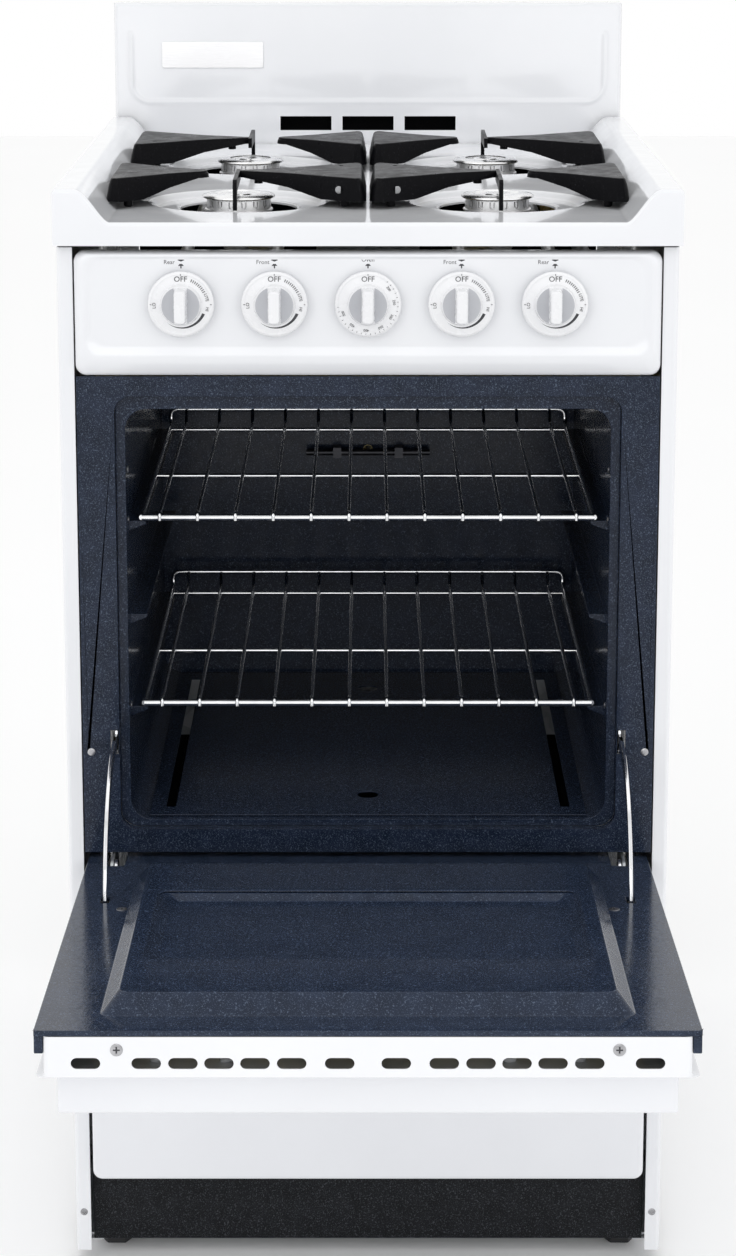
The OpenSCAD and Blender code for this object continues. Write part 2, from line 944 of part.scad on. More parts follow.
plateau_half = 192;
plateau_z = [43, 390];

recess_z = [131, 301];

module plateau(shrink, extra) {
    slope = 12;
    y0 = door_in + liner_t;
    hull() {
        upright(y0 - 1, 1)
            round_rect([-plateau_half + shrink, plateau_z[0] + shrink],
                [plateau_half - shrink, plateau_z[1] - shrink], 8);
        upright(y0 + plateau_h - extra - 1, 1)
            round_rect([-plateau_half + shrink + slope, plateau_z[0] + shrink + slope],
                [plateau_half - shrink - slope, plateau_z[1] - shrink - slope], 8);
    }
}

module door_liner() {
    y0 = door_in + 0.2;
    side_lip = 14;
    color("#2f3a4a") swung_open() difference() {
        union() {
            upright(y0, liner_t - 0.2)
                round_rect([-door_w / 2, door_bottom], [door_w / 2, door_top], 3);
            both_sides()
                block([skin_half + 0.4, y0 - side_lip, door_bottom + 4],
                    [door_w / 2, y0 + 1, door_top - 4]);
            plateau(0, 0);
        }
        plateau(sheet * 2, sheet);
        upright(y0 - 1, liner_t + 1)
            round_rect([-plateau_half + 4, plateau_z[0] + 4], [plateau_half - 4, plateau_z[1] - 4], 8);
        hull() {
            upright(door_in + liner_t + plateau_h, 1)
                round_rect([-168, recess_z[0] - 2], [168, recess_z[1] + 2], 8);
            upright(door_in + liner_t + plateau_h - 7, 1)
                round_rect([-158, recess_z[0] + 8], [158, recess_z[1] - 8], 8);
        }
        both_sides()
            block([arm_x - 2, y0 - 1, arm_in - 3], [arm_x + arm_t + 2, y0 + 8, arm_out + 3]);
        finger_room();
    }
    color("#2f3a4a") swung_open() difference() {
        hull() {
            upright(door_in + liner_t + plateau_h - 3, 1) round_rect([-170, recess_z[0] - 4], [170, recess_z[1] + 4], 8);
            upright(door_in + liner_t + plateau_h - 9, 1) round_rect([-160, recess_z[0] + 6], [160, recess_z[1] - 6], 8);
        }
        hull() {
            upright(door_in + liner_t + plateau_h - 1, 3) round_rect([-168, recess_z[0] - 2], [168, recess_z[1] + 2], 8);
            upright(door_in + liner_t + plateau_h - 7, 1) round_rect([-158, recess_z[0] + 8], [158, recess_z[1] - 8], 8);
        }
    }
}

module door_insulation() {
    color("khaki") swung_open()
        block([-200, door_out + sheet + 0.3, 22], [200, door_in - 1, door_top - 48]);
}

// Channel handle, open towards the hinge side so that fingers reach in from below
module door_handle() {
    z1 = door_top - handle_drop;
    z0 = z1 - handle_tall;
    wall = 3;
    y_near = door_out - 0.02;
    y_far = door_out - handle_out;
    color("white") swung_open() difference() {
        sideways(-handle_l / 2, handle_l) offset(r = 4, $fn = 32) offset(delta = -4)
            polygon([[y_near, z1], [y_near, z0 + 4], [y_far, z0], [y_far, z1 - 3]]);
        sideways(-handle_l / 2 + wall, handle_l - 2 * wall)
            polygon([[door_out - 3, z1 - wall], [door_out - 3, z0 - 5],
                [y_far + wall, z0 - 5], [y_far + wall, z1 - wall - 2.5]]);
    }
}

module handle_fixings() {
    z = door_top - handle_drop - 9;
    color("silver") swung_open() for (x = [-152, -102, 102, 152]) {
        rod_y([x, door_out + sheet, z], 3, 5);
        rod_y([x, door_out - 6.5, z], 3.5, 5);
    }
}

module door_screws() {
    color("silver") swung_open() {
        for (x = [-edge_screw_x, edge_screw_x])
            translate([x, edge_screw_y, door_top]) difference() {
                cylinder(r1 = 4.5, r2 = 3.2, h = 2);
                for (a = [0, 90])
                    rotate([0, 0, a]) block([-2.4, -0.5, 1], [2.4, 0.5, 3]);
            }
        both_sides()
            translate([arm_x - 14, door_in + liner_t, arm_out + 20]) rotate([-90, 0, 0])
                cylinder(r1 = 3.5, r2 = 2.5, h = 2);
    }
}

module hinge_arms() {
    color("silver") swung_open() both_sides() difference() {
        union() {
            ring_sector(arm_in, arm_out, -9, 90, arm_x, arm_t);
            ring_sector(arm_in - 3, arm_out + 4, -9, -5, arm_x, arm_t);
            rod_x([arm_x, 0, 0], arm_t, 10);
            block([arm_x, -8, 0], [arm_x + arm_t, 3, arm_out]);
        }
        rod_x([arm_x - 1, 0, 0], arm_t + 2, pin_r + run_gap);
    }
}

// ---- racks ----

module oven_rack(level) {
    half = rack_w / 2;
    pitch = (rack_w - 36) / (rack_count - 1);
    z = level + 0.4 + rack_bar;
    back = rack_y + rack_d;
    color("gainsboro") placed() union() {
        for (y = [rack_y + rack_bar, back - 24])
            rod_x([-half + rack_bar, y, z], rack_w - 2 * rack_bar, rack_bar);
        both_sides()
            rod_y([half - rack_bar, rack_y + rack_bar, z], rack_d - 2 * rack_bar, rack_bar);
        rod_x([-half + 16, rack_y + rack_d * 0.42, z - 1], rack_w - 32, rack_wire);
        for (i = [0:rack_count - 1])
            rod_y([-half + 18 + i * pitch, rack_y + rack_bar, z + 2.6], rack_d - 27, 2);
        for (x = [-half + rack_bar, half - rack_bar])
            rod_z([x, back - rack_bar, z], 16, rack_bar);
        rod_x([-half + rack_bar, back - rack_bar, z + 14], rack_w - 2 * rack_bar, rack_bar);
    }
}

module oven_rack_upper() {
    oven_rack(rack_levels[1]);
}

module oven_rack_lower() {
    oven_rack(rack_levels[0]);
}

// ---- broiler drawer ----

drawer_t = 18;

module drawer_front() {
    color("#f0f1f5") placed() union() {
        difference() {
            upright(-drawer_t, drawer_t)
                round_rect([-drawer_half, drawer_z], [drawer_half, drawer_top], 8);
            upright(-drawer_t + sheet, drawer_t)
                round_rect([-drawer_half + sheet, drawer_z + sheet],
                    [drawer_half - sheet, drawer_top - sheet], 7);
        }
        upright(-sheet, sheet)
            round_rect([-drawer_half + sheet / 2, drawer_z + sheet / 2],
                [drawer_half - sheet / 2, drawer_top - 30], 4);
    }
}

carriage_z = 110;
pan_z = carriage_z + sheet + 0.3;

module drawer_carriage() {
    y1 = 430;
    color("lightgray") placed() difference() {
        union() {
            block([-carriage_half, 0, carriage_z], [carriage_half, y1, 200]);
            both_sides()
                block([carriage_half - 1, 0, 161], [carriage_half + 18, y1, 163]);
        }
        block([-carriage_half + sheet, sheet, carriage_z + sheet],
            [carriage_half - sheet, y1 - sheet, 210]);
        block([-120, 80, carriage_z - 1], [120, 350, carriage_z + 3]);
    }
}

module broiler_pan() {
    h = 38;
    color("#23272d") placed() difference() {
        union() {
            upright_pan(170, [60, 370], pan_z, h);
            block([-178, 52, pan_z + h - 2], [178, 378, pan_z + h]);
        }
        translate([0, 0, 1.6]) upright_pan(168.4, [61.6, 368.4], pan_z, h);
    }
}

module upright_pan(half, ys, z, h) {
    translate([0, 0, z]) linear_extrude(h)
        round_rect([-half, ys[0]], [half, ys[1]], 16);
}

module broiler_grid() {
    z = pan_z + 38.3;
    color("#23272d") placed() difference() {
        block([-176, 54, z], [176, 376, z + 1.6]);
        for (i = [0:12], j = [-1:1])
            translate([j * 104 - 40, 78 + i * 22, z - 1]) cube([80, 6, 4]);
    }
}

left_side_panel();
right_side_panel();
back_panel();
base_frame();
kick_plate();
oven_front_frame();
oven_liner();
oven_floor();
burner_box();
oven_burner();
flame_spreader();
oven_igniter();
thermostat_bulb();
oven_insulation();
flue_duct();
backguard();
name_plate();
control_panel();
gas_manifold();
gas_valves();
burner_tubes();
burner_heads();
burner_caps();
gas_inlet();
cooktop_hinges();
hinge_brackets();
drawer_rails();
panel_screws();
cooktop();
grate_front_left();
grate_front_right();
grate_rear_left();
grate_rear_right();
door_skin();
door_liner();
door_insulation();
door_handle();
handle_fixings();
door_screws();
hinge_arms();
oven_rack_upper();
oven_rack_lower();
drawer_front();
drawer_carriage();
broiler_pan();
broiler_grid();
valve_stem_1();
valve_stem_2();
valve_stem_3();
valve_stem_4();
valve_stem_5();
knob_1();
knob_2();
knob_3();
knob_4();
knob_5();
leg_front_left();
leg_front_right();
leg_rear_left();
leg_rear_right();
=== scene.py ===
import json
import math
import bmesh
import bpy
from mathutils import Matrix, Vector


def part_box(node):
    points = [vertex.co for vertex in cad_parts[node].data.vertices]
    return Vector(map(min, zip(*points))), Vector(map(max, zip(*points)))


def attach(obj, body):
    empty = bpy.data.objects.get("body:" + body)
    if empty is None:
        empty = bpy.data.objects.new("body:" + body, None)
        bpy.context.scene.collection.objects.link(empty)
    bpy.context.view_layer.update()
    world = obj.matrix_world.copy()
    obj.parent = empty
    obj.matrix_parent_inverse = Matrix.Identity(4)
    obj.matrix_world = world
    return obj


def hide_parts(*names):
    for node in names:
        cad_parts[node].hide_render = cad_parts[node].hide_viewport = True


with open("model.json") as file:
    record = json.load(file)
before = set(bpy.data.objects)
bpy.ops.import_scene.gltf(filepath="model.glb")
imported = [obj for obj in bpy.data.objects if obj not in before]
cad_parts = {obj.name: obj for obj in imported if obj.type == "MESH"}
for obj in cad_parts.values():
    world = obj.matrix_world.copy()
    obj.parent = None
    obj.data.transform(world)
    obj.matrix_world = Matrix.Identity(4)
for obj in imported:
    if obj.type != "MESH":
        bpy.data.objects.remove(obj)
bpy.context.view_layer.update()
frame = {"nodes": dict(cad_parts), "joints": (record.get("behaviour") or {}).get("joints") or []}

MM = 0.001
SHEET = 1.2 * MM
JOINTS = {joint["name"]: joint for joint in frame["joints"]}


# ---- places read from the frame ----

def low(node):
    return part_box(node)[0]


def high(node):
    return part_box(node)[1]


def middle(node):
    return (low(node) + high(node)) / 2


BODY_FRONT = low("right_side_panel").y
CAP_R = 31 * MM
CAP_RISE = 7 * MM
COOK_Z = high("burner_caps").z - CAP_RISE
DOOR_AXIS = Vector(JOINTS["door_hinge"]["pos_m"])
OPEN_ANGLE = -math.radians(JOINTS["door_hinge"]["range_deg"][0])
# the closed door's foot and tip, up from the hinge axis, and its air slots, out from the middle
DOOR_FOOT = -27 * MM
DOOR_TIP = 421 * MM
DOOR_SLOTS = (20, 54, 80, 105.5, 131, 157, 200)
WALL_SCREW_X = 201 * MM
GRATES = ["grate_front_left", "grate_front_right", "grate_rear_left", "grate_rear_right"]


# ---- materials ----

class Wire:
    """A value that a material's nodes give out."""

    def __init__(self, finish, socket):
        self.finish = finish
        self.socket = socket

    def maths(self, operation, *values):
        return self.finish.add("ShaderNodeMath", {"operation": operation}, dict(enumerate(values)))

    def __mul__(self, other):
        return self.maths("MULTIPLY", self, other)

    def over(self, edge):
        """1 where the value passes the edge, 0 elsewhere."""
        return self.maths("GREATER_THAN", self, edge)

    def spread(self, start, end, to_start=0.0, to_end=1.0):
        """The value's stretch from start to end, mapped onto another stretch."""
        return self.finish.add("ShaderNodeMapRange", {"clamp": True}, {
            "Value": self, "From Min": start, "From Max": end,
            "To Min": to_start, "To Max": to_end})


class Finish:
    """A procedural material on Object coordinates."""

    def __init__(self, name, **sockets):
        self.material = bpy.data.materials.new(name)
        self.material.use_nodes = True
        self.tree = self.material.node_tree
        self.shader = self.tree.nodes["Principled BSDF"]
        self.place = self.add("ShaderNodeTexCoord", output="Object")
        for socket, value in sockets.items():
            self.set(socket.replace("_", " "), value)

    def set(self, socket, value):
        self.feed(self.shader.inputs[socket], value)

    def feed(self, socket, value):
        if isinstance(value, Wire):
            self.tree.links.new(value.socket, socket)
        else:
            socket.default_value = value

    def add(self, kind, settings=None, sockets=None, output=0):
        node = self.tree.nodes.new(kind)
        for name, value in (settings or {}).items():
            setattr(node, name, value)
        for name, value in (sockets or {}).items():
            self.feed(node.inputs[name], value)
        return Wire(self, node.outputs[output])

    def noise(self, scale, detail=2.0, stretch=(1, 1, 1)):
        place = self.add("ShaderNodeMapping", None, {"Vector": self.place, "Scale": stretch})
        return self.add("ShaderNodeTexNoise", None, {
            "Vector": place, "Scale": scale, "Detail": detail})

    def cells(self, scale, output="Distance"):
        return self.add("ShaderNodeTexVoronoi", None, {"Vector": self.place, "Scale": scale},
                        output)

    def blend(self, factor, first, second):
        return self.add("ShaderNodeMix", {"data_type": "RGBA"}, {
            "Factor": factor, 6: rgba(first), 7: rgba(second)}, 2)

    def bump(self, height, strength, distance):
        self.set("Normal", self.add("ShaderNodeBump", None, {
            "Height": height, "Strength": strength, "Distance": distance}))

    def done(self):
        return self.material


def rgba(colour):
    return colour if isinstance(colour, Wire) else (*colour, 1.0)


def enamel(name, colour, warm):
    """Fired white enamel: glassy, faintly uneven, a shade greyer where it is thin."""
    finish = Finish(name, IOR=1.52, Coat_Weight=0.5)
    finish.shader.inputs["Coat Roughness"].default_value = 0.04
    cloud = finish.noise(7.0, 3.0)
    finish.set("Base Color", finish.blend(cloud.spread(0.35, 0.7), colour, warm))
    finish.set("Roughness", finish.noise(30.0).spread(0.3, 0.7, 0.10, 0.17))
    finish.bump(finish.noise(140.0, 1.0), 0.10, 0.0004)
    return finish.done()


def speckled(name, dark, lit, fleck, amount, gloss, shine):
    """Porcelain on steel with fine light flecks fired into a dark ground."""
    finish = Finish(name, IOR=1.5, Specular_IOR_Level=shine)
    ground = finish.blend(finish.noise(60.0, 4.0).spread(0.35, 0.7), dark, lit)
    fine = finish.noise(1500.0, 2.0).over(1.0 - amount)
    coarse = finish.noise(650.0, 2.0).over(1.02 - amount)
    flecks = fine.maths("MAXIMUM", fine, coarse)
    finish.set("Base Color", finish.blend(flecks * 0.75, ground, fleck))
    finish.set("Roughness", finish.noise(220.0).spread(0.3, 0.7, gloss, gloss + 0.12))
    finish.bump(finish.noise(420.0, 2.0), 0.16, 0.0003)
    return finish.done()


def black_porcelain(name):
    finish = Finish(name, IOR=1.45, Specular_IOR_Level=0.08)
    flecks = finish.noise(900.0, 2.0).over(0.68)
    finish.set("Base Color", finish.blend(flecks * 0.35, (0.003, 0.003, 0.004), (0.06, 0.06, 0.07)))
    finish.set("Roughness", finish.noise(90.0).spread(0.3, 0.7, 0.26, 0.40))
    finish.bump(finish.noise(520.0, 3.0), 0.35, 0.0004)
    return finish.done()


def metal(name, dark, light, rough, stretch=(1, 1, 1), grain=0.15, scale=90.0):
    """Bare or plated metal, with the streaks or mottling that its making leaves."""
    finish = Finish(name, Metallic=1.0)
    streak = finish.noise(scale, 3.0, stretch)
    finish.set("Base Color", finish.blend(streak.spread(0.3, 0.7), dark, light))
    finish.set("Roughness", streak.spread(0.3, 0.75, rough, rough + 0.14))
    finish.bump(streak, grain, 0.0003)
    return finish.done()


def spangled_zinc(name):
    finish = Finish(name, Metallic=0.9)
    crystal = finish.cells(70.0, "Color")
    shade = finish.add("ShaderNodeSeparateColor", None, {"Color": crystal})
    finish.set("Base Color", finish.blend(shade, (0.36, 0.38, 0.40), (0.60, 0.62, 0.64)))
    finish.set("Roughness", shade.spread(0.0, 1.0, 0.30, 0.48))
    finish.bump(finish.noise(60.0), 0.1, 0.0004)
    return finish.done()


def moulded(name, colour, shade, rough, grain=0.12):
    """Moulded plastic or paint with a fine leathery grain."""
    finish = Finish(name, IOR=1.46)
    finish.set("Base Color", finish.blend(finish.noise(18.0).spread(0.3, 0.75), colour, shade))
    finish.set("Roughness", finish.noise(120.0).spread(0.3, 0.7, rough, rough + 0.1))
    finish.bump(finish.noise(900.0, 1.0), grain, 0.0002)
    return finish.done()


def wool_blanket(name):
    finish = Finish(name)
    fibre = finish.noise(160.0, 6.0, (1, 6, 2))
    finish.set("Base Color", finish.blend(fibre, (0.38, 0.30, 0.12), (0.75, 0.66, 0.40)))
    finish.set("Roughness", 0.95)
    finish.bump(fibre, 0.9, 0.002)
    return finish.done()


WHITE = enamel("white_enamel", (0.83, 0.84, 0.865), (0.80, 0.812, 0.84))
# the white enamel a shade darker: painted shade, used on the drawer front and the door grip bar
SHADED_ENAMEL = enamel("shaded_white_enamel", (0.80, 0.81, 0.84), (0.775, 0.785, 0.815))
NAVY = speckled("navy_porcelain", (0.007, 0.012, 0.025), (0.013, 0.020, 0.040),
                (0.085, 0.112, 0.165), 0.37, 0.13, 0.24)
LINER = speckled("door_liner_porcelain", (0.011, 0.018, 0.036), (0.018, 0.028, 0.054),
                 (0.095, 0.125, 0.185), 0.37, 0.09, 0.26)
KICK = speckled("kick_porcelain", (0.0035, 0.004, 0.005), (0.007, 0.008, 0.010),
                (0.065, 0.070, 0.080), 0.37, 0.36, 0.16)
# near-black coat for hidden sides: real ground coat on the backs of enamelled sheets, painted shade on the
# inner face of the zinc back panel
GROUND_COAT_AND_SHADE = speckled("ground_coat_and_painted_shade", (0.002, 0.0022, 0.003), (0.004, 0.0045, 0.006),
                  (0.012, 0.013, 0.016), 0.34, 0.5, 0.1)
GRATE = black_porcelain("grate_porcelain")
CHROME = metal("bright_chrome", (0.70, 0.71, 0.73), (0.86, 0.87, 0.89), 0.06, grain=0.03)
ZINC = spangled_zinc("zinc_coat")
CAST = metal("cast_aluminium", (0.80, 0.80, 0.81), (0.93, 0.93, 0.93), 0.38, grain=0.12)
TURNED = metal("turned_aluminium", (0.84, 0.84, 0.85), (0.94, 0.94, 0.94), 0.20, grain=0.05)
SCREW = metal("plated_screw", (0.30, 0.30, 0.31), (0.55, 0.55, 0.57), 0.22, grain=0.05)
DARK = metal("oxidised_steel", (0.05, 0.052, 0.058), (0.10, 0.10, 0.11), 0.4, grain=0.1)
BRASS = metal("turned_brass", (0.62, 0.44, 0.16), (0.80, 0.62, 0.28), 0.22, grain=0.08)
STEEL = metal("drawn_steel", (0.48, 0.49, 0.51), (0.66, 0.67, 0.69), 0.25, (1, 8, 1), 0.1)
KNOB = moulded("knob_white", (0.84, 0.845, 0.86), (0.80, 0.805, 0.825), 0.22, 0.05)
# grey for the patches beside the knob grip: painted shade standing in for the scooped flanks
KNOB_SCOOP_SHADE = moulded("knob_scoop_painted_shade", (0.50, 0.51, 0.54), (0.44, 0.45, 0.48), 0.35, 0.08)
# black ink for print, also used as painted shade in the door screws' recesses
PRINT_INK_AND_SHADE = moulded("dial_ink_and_recess_shade", (0.035, 0.036, 0.04), (0.06, 0.06, 0.07), 0.5)
PLATE = metal("plain_plate", (0.80, 0.80, 0.81), (0.90, 0.90, 0.91), 0.28, (1, 1, 40), 0.05)
FOOT = moulded("foot_black", (0.018, 0.018, 0.02), (0.03, 0.03, 0.033), 0.45)
CERAMIC = moulded("igniter_ceramic", (0.72, 0.69, 0.60), (0.62, 0.59, 0.50), 0.8, 0.4)
WOOL = wool_blanket("mineral_wool")


# ---- making meshes ----

def in_mm(points):
    return [(a * MM, b * MM) for a, b in points]


def as_object(name, mesh):
    thing = bpy.data.objects.new(name, mesh)
    bpy.context.scene.collection.objects.link(thing)
    return thing


def from_faces(name, points, faces):
    mesh = bpy.data.meshes.new(name)
    mesh.from_pydata([tuple(p) for p in points], [], faces)
    mesh.validate()
    return as_object(name, mesh)


def tidy_normals(thing):
    """Doubles merged, then every closed shell turned outwards."""
    bm = bmesh.new()
    bm.from_mesh(thing.data)
    bmesh.ops.remove_doubles(bm, verts=bm.verts, dist=1e-6)
    bmesh.ops.recalc_face_normals(bm, faces=bm.faces)
    bm.to_mesh(thing.data)
    bm.free()
    return thing


def settled(thing, *modifiers):
    """The object with its modifiers made part of its mesh, after any new ones given here."""
    for kind, settings in modifiers:
        modifier = thing.modifiers.new(kind.lower(), kind)
        for name, value in settings.items():
            setattr(modifier, name, value)
    graph = bpy.context.evaluated_depsgraph_get()
    mesh = bpy.data.meshes.new_from_object(thing.evaluated_get(graph))
    thing.modifiers.clear()
    thing.data = mesh
    return thing


def joined(name, things):
    """One object out of several, each with its own closed shells."""
    bm = bmesh.new()
    for thing in things:
        part = thing.data.copy()
        part.transform(thing.matrix_world)
        bm.from_mesh(part)
        bpy.data.objects.remove(thing)
    mesh = bpy.data.meshes.new(name)
    bm.to_mesh(mesh)
    bm.free()
    return as_object(name, mesh)


def smooth(thing, angle=35):
    thing.data.shade_smooth()
    thing.data.set_sharp_from_angle(angle=math.radians(angle))
    return thing


def flip_faces(thing):
    """Turns every face to look the other way."""
    for face in thing.data.polygons:
        face.flip()


def place(thing, matrix):
    thing.data.transform(matrix)
    return thing


def finished(thing, material, body, slot, *nodes, angle=35):
    """Gives a piece its finish and its body, and hides the CAD nodes that it stands for."""
    smooth(thing, angle)
    settled(thing, ("WEIGHTED_NORMAL", {"keep_sharp": True, "weight": 80}))
    thing.data.materials.clear()
    thing.data.materials.append(material)
    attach(thing, body)
    if nodes:
        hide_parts(*nodes)
    return thing


def edge_room(edge):
    """How wide a bevel an edge can take: half its shortest neighbour that turns off it."""
    along = (edge.verts[1].co - edge.verts[0].co).normalized()
    room = 1.0
    for vertex in edge.verts:
        for other in vertex.link_edges:
            if other is edge or not set(other.link_faces) & set(edge.link_faces):
                continue
            way = other.verts[1].co - other.verts[0].co
            if abs(way.normalized().dot(along)) < 0.75:
                room = min(room, way.length)
    return room * 0.42


def softened(name, node, width, segments=2, sharp=28):
    """A copy of a CAD node with its flat faces made whole and its edges rounded."""
    bm = bmesh.new()
    bm.from_mesh(frame["nodes"][node].data)
    bmesh.ops.remove_doubles(bm, verts=bm.verts, dist=2e-6)
    bmesh.ops.dissolve_limit(bm, angle_limit=math.radians(1.2), verts=bm.verts, edges=bm.edges)
    bmesh.ops.connect_verts_concave(bm, faces=[face for face in bm.faces if len(face.verts) > 4])
    weight = bm.edges.layers.float.new("bevel_weight_edge")
    for edge in bm.edges:
        if len(edge.link_faces) == 2 and edge.calc_face_angle(0.0) > math.radians(sharp):
            edge[weight] = min(1.0, edge_room(edge) / width)
    mesh = bpy.data.meshes.new(name)
    bm.to_mesh(mesh)
    bm.free()
    return settled(as_object(name, mesh), ("BEVEL", {
        "width": width, "segments": segments, "limit_method": "WEIGHT",
        "use_clamp_overlap": False, "harden_normals": False, "miter_outer": "MITER_ARC"}))


def soften_all(body, rows):
    """CAD nodes of one body with rounded edges and a finish. Edge widths are in mm."""
    for name, node, width, material, slot in rows:
        finished(softened(name, node, width * MM), material, body, slot, node)


def sweep_round(name, profile, turns=64, axis=(0, 0, 0)):
    """A closed shell turned from (radius, height) points round a vertical axis."""
    points = []
    for step in range(turns):
        angle = 2 * math.pi * step / turns
        for radius, height in profile:
            points.append(Vector(axis) + Vector((radius * math.cos(angle),
                                                 radius * math.sin(angle), height)))
    count = len(profile)
    faces = []
    for step in range(turns):
        nxt = (step + 1) % turns
        for i in range(count):
            j = (i + 1) % count
            faces.append((step * count + i, nxt * count + i, nxt * count + j, step * count + j))
    return tidy_normals(from_faces(name, points, faces))


def arc(centre, radius, start, end, steps):
    """Points on a circle from one angle to another, in degrees."""
    points = []
    for step in range(steps + 1):
        angle = math.radians(start + (end - start) * step / steps)
        points.append((centre[0] + radius * math.cos(angle), centre[1] + radius * math.sin(angle)))
    return points


def round_rect(left, bottom, right, top, radius, steps=6):
    """A rectangle with round corners, anticlockwise from the lower right corner."""
    corners = [(right - radius, bottom + radius, -90), (right - radius, top - radius, 0),
               (left + radius, top - radius, 90), (left + radius, bottom + radius, 180)]
    points = []
    for x, y, start in corners:
        points += arc((x, y), radius, start, start + 90, steps)
    return points


def loft(name, rings, cap_first=True, cap_last=True):
    """A skin over rings of equal point count, with flat ends."""
    count = len(rings[0])
    points = [p for ring in rings for p in ring]
    faces = []
    for r in range(len(rings) - 1):
        for i in range(count):
            j = (i + 1) % count
            faces.append((r * count + i, r * count + j, (r + 1) * count + j, (r + 1) * count + i))
    if cap_first:
        faces.append(tuple(range(count)))
    if cap_last:
        faces.append(tuple((len(rings) - 1) * count + i for i in range(count)))
    return from_faces(name, points, faces)


def upright(outline, y):
    """A ring in space from an outline drawn as seen from the front."""
    return [(x, y, z) for x, z in outline]


def prism(name, outline, start, end, plane="xy"):
    """A closed block on an outline, drawn through a thickness."""
    order = {"xy": lambda a, b, c: (a, b, c), "xz": lambda a, b, c: (a, c, b),
             "yz": lambda a, b, c: (c, a, b)}[plane]
    rings = [[order(a, b, c) for a, b in outline] for c in (start, end)]
    return tidy_normals(loft(name, rings))


def cut(thing, cutter):
    """Takes the cutter's volume out of the object."""
    settled(thing, ("BOOLEAN", {"object": cutter, "operation": "DIFFERENCE", "solver": "EXACT"}))
    bpy.data.objects.remove(cutter)
    return thing


# ---- repeats made with node trees ----

class Grower:
    """A Geometry Nodes tree under construction."""

    def __init__(self, name):
        self.tree = bpy.data.node_groups.new(name, "GeometryNodeTree")
        self.tree.interface.new_socket("Geometry", in_out="OUTPUT", socket_type="NodeSocketGeometry")
        self.out = self.tree.nodes.new("NodeGroupOutput")
        self.entry = self.tree.nodes.new("NodeGroupInput")

    def size(self, name, kind):
        """A named input of the tree."""
        item = self.tree.interface.new_socket(name, in_out="INPUT", socket_type=kind)
        return self.entry.outputs[item.name]

    def add(self, kind, settings=None, sockets=None, output=0):
        node = self.tree.nodes.new(kind)
        for name, value in (settings or {}).items():
            setattr(node, name, value)
        for name, value in (sockets or {}).items():
            if isinstance(value, bpy.types.NodeSocket):
                self.tree.links.new(value, node.inputs[name])
            else:
                node.inputs[name].default_value = value
        return node.outputs[output]

    def grown(self, name, geometry, material, **sizes):
        """The tree's result as a plain mesh, with the sizes given by name."""
        real = self.add("GeometryNodeRealizeInstances", None, {0: geometry})
        last = self.add("GeometryNodeSetMaterial", None, {"Geometry": real, "Material": material})
        self.tree.links.new(last, self.out.inputs[0])
        thing = as_object(name, bpy.data.meshes.new(name))
        modifier = thing.modifiers.new("grow", "NODES")
        modifier.node_group = self.tree
        for item in self.tree.interface.items_tree:
            if item.in_out == "INPUT" and item.name in sizes:
                modifier[item.identifier] = sizes[item.name]
        return settled(thing)


def copies_at(name, pattern, spots, material):
    """The pattern object repeated at the matrices in spots, through an instancing tree."""
    carrier = bpy.data.meshes.new(name + "_spots")
    carrier.from_pydata([tuple(m.translation) for m in spots], [], [])
    turn = carrier.attributes.new("turn", "FLOAT_VECTOR", "POINT")
    for item, matrix in zip(turn.data, spots):
        item.vector = tuple(matrix.to_euler())
    carrier_object = as_object(name + "_carrier", carrier)
    grower = Grower(name + "_tree")
    spots_in = grower.size("Spots", "NodeSocketObject")
    shape_in = grower.size("Shape", "NodeSocketObject")
    points = grower.add("GeometryNodeObjectInfo", None, {"Object": spots_in}, "Geometry")
    shape = grower.add("GeometryNodeObjectInfo", None, {"Object": shape_in}, "Geometry")
    named = grower.add("GeometryNodeInputNamedAttribute", {"data_type": "FLOAT_VECTOR"},
                       {"Name": "turn"})
    rotation = grower.add("FunctionNodeEulerToRotation", None, {0: named})
    many = grower.add("GeometryNodeInstanceOnPoints", None, {
        "Points": points, "Instance": shape, "Rotation": rotation})
    thing = grower.grown(name, many, material, Spots=carrier_object, Shape=pattern)
    bpy.data.objects.remove(carrier_object)
    bpy.data.objects.remove(pattern)
    return thing


def wires(name, routes, material, sides=10):
    """Round wire along routes: each is a list of points and a radius."""
    curve = bpy.data.curves.new(name, "CURVE")
    curve.dimensions = "3D"
    for points, radius in routes:
        spline = curve.splines.new("POLY")
        spline.points.add(len(points) - 1)
        for spot, point in zip(spline.points, points):
            spot.co = (*point, 1.0)
            spot.radius = radius
    line = as_object(name + "_line", curve)
    grower = Grower(name + "_tree")
    line_in = grower.size("Line", "NodeSocketObject")
    sides_in = grower.size("Sides", "NodeSocketInt")
    route = grower.add("GeometryNodeObjectInfo", None, {"Object": line_in}, "Geometry")
    ring = grower.add("GeometryNodeCurvePrimitiveCircle", None, {"Resolution": sides_in, "Radius": 1.0})
    thick = grower.add("GeometryNodeInputRadius")
    tube = grower.add("GeometryNodeCurveToMesh", None, {
        "Curve": route, "Profile Curve": ring, "Scale": thick, "Fill Caps": True})
    thing = grower.grown(name, tube, material, Line=line, Sides=sides)
    bpy.data.objects.remove(line)
    return tidy_normals(thing)


def bend(points, radius, steps=5):
    """A route with its inner corners rounded."""
    out = [Vector(points[0])]
    for before, corner, after in zip(points, points[1:], points[2:]):
        corner = Vector(corner)
        into = (Vector(before) - corner).normalized() * radius
        away = (Vector(after) - corner).normalized() * radius
        for step in range(steps + 1):
            t = step / steps
            out.append(corner + into * (1 - t) ** 2 + away * t ** 2)
    out.append(Vector(points[-1]))
    return out


# ---- cabinet ----

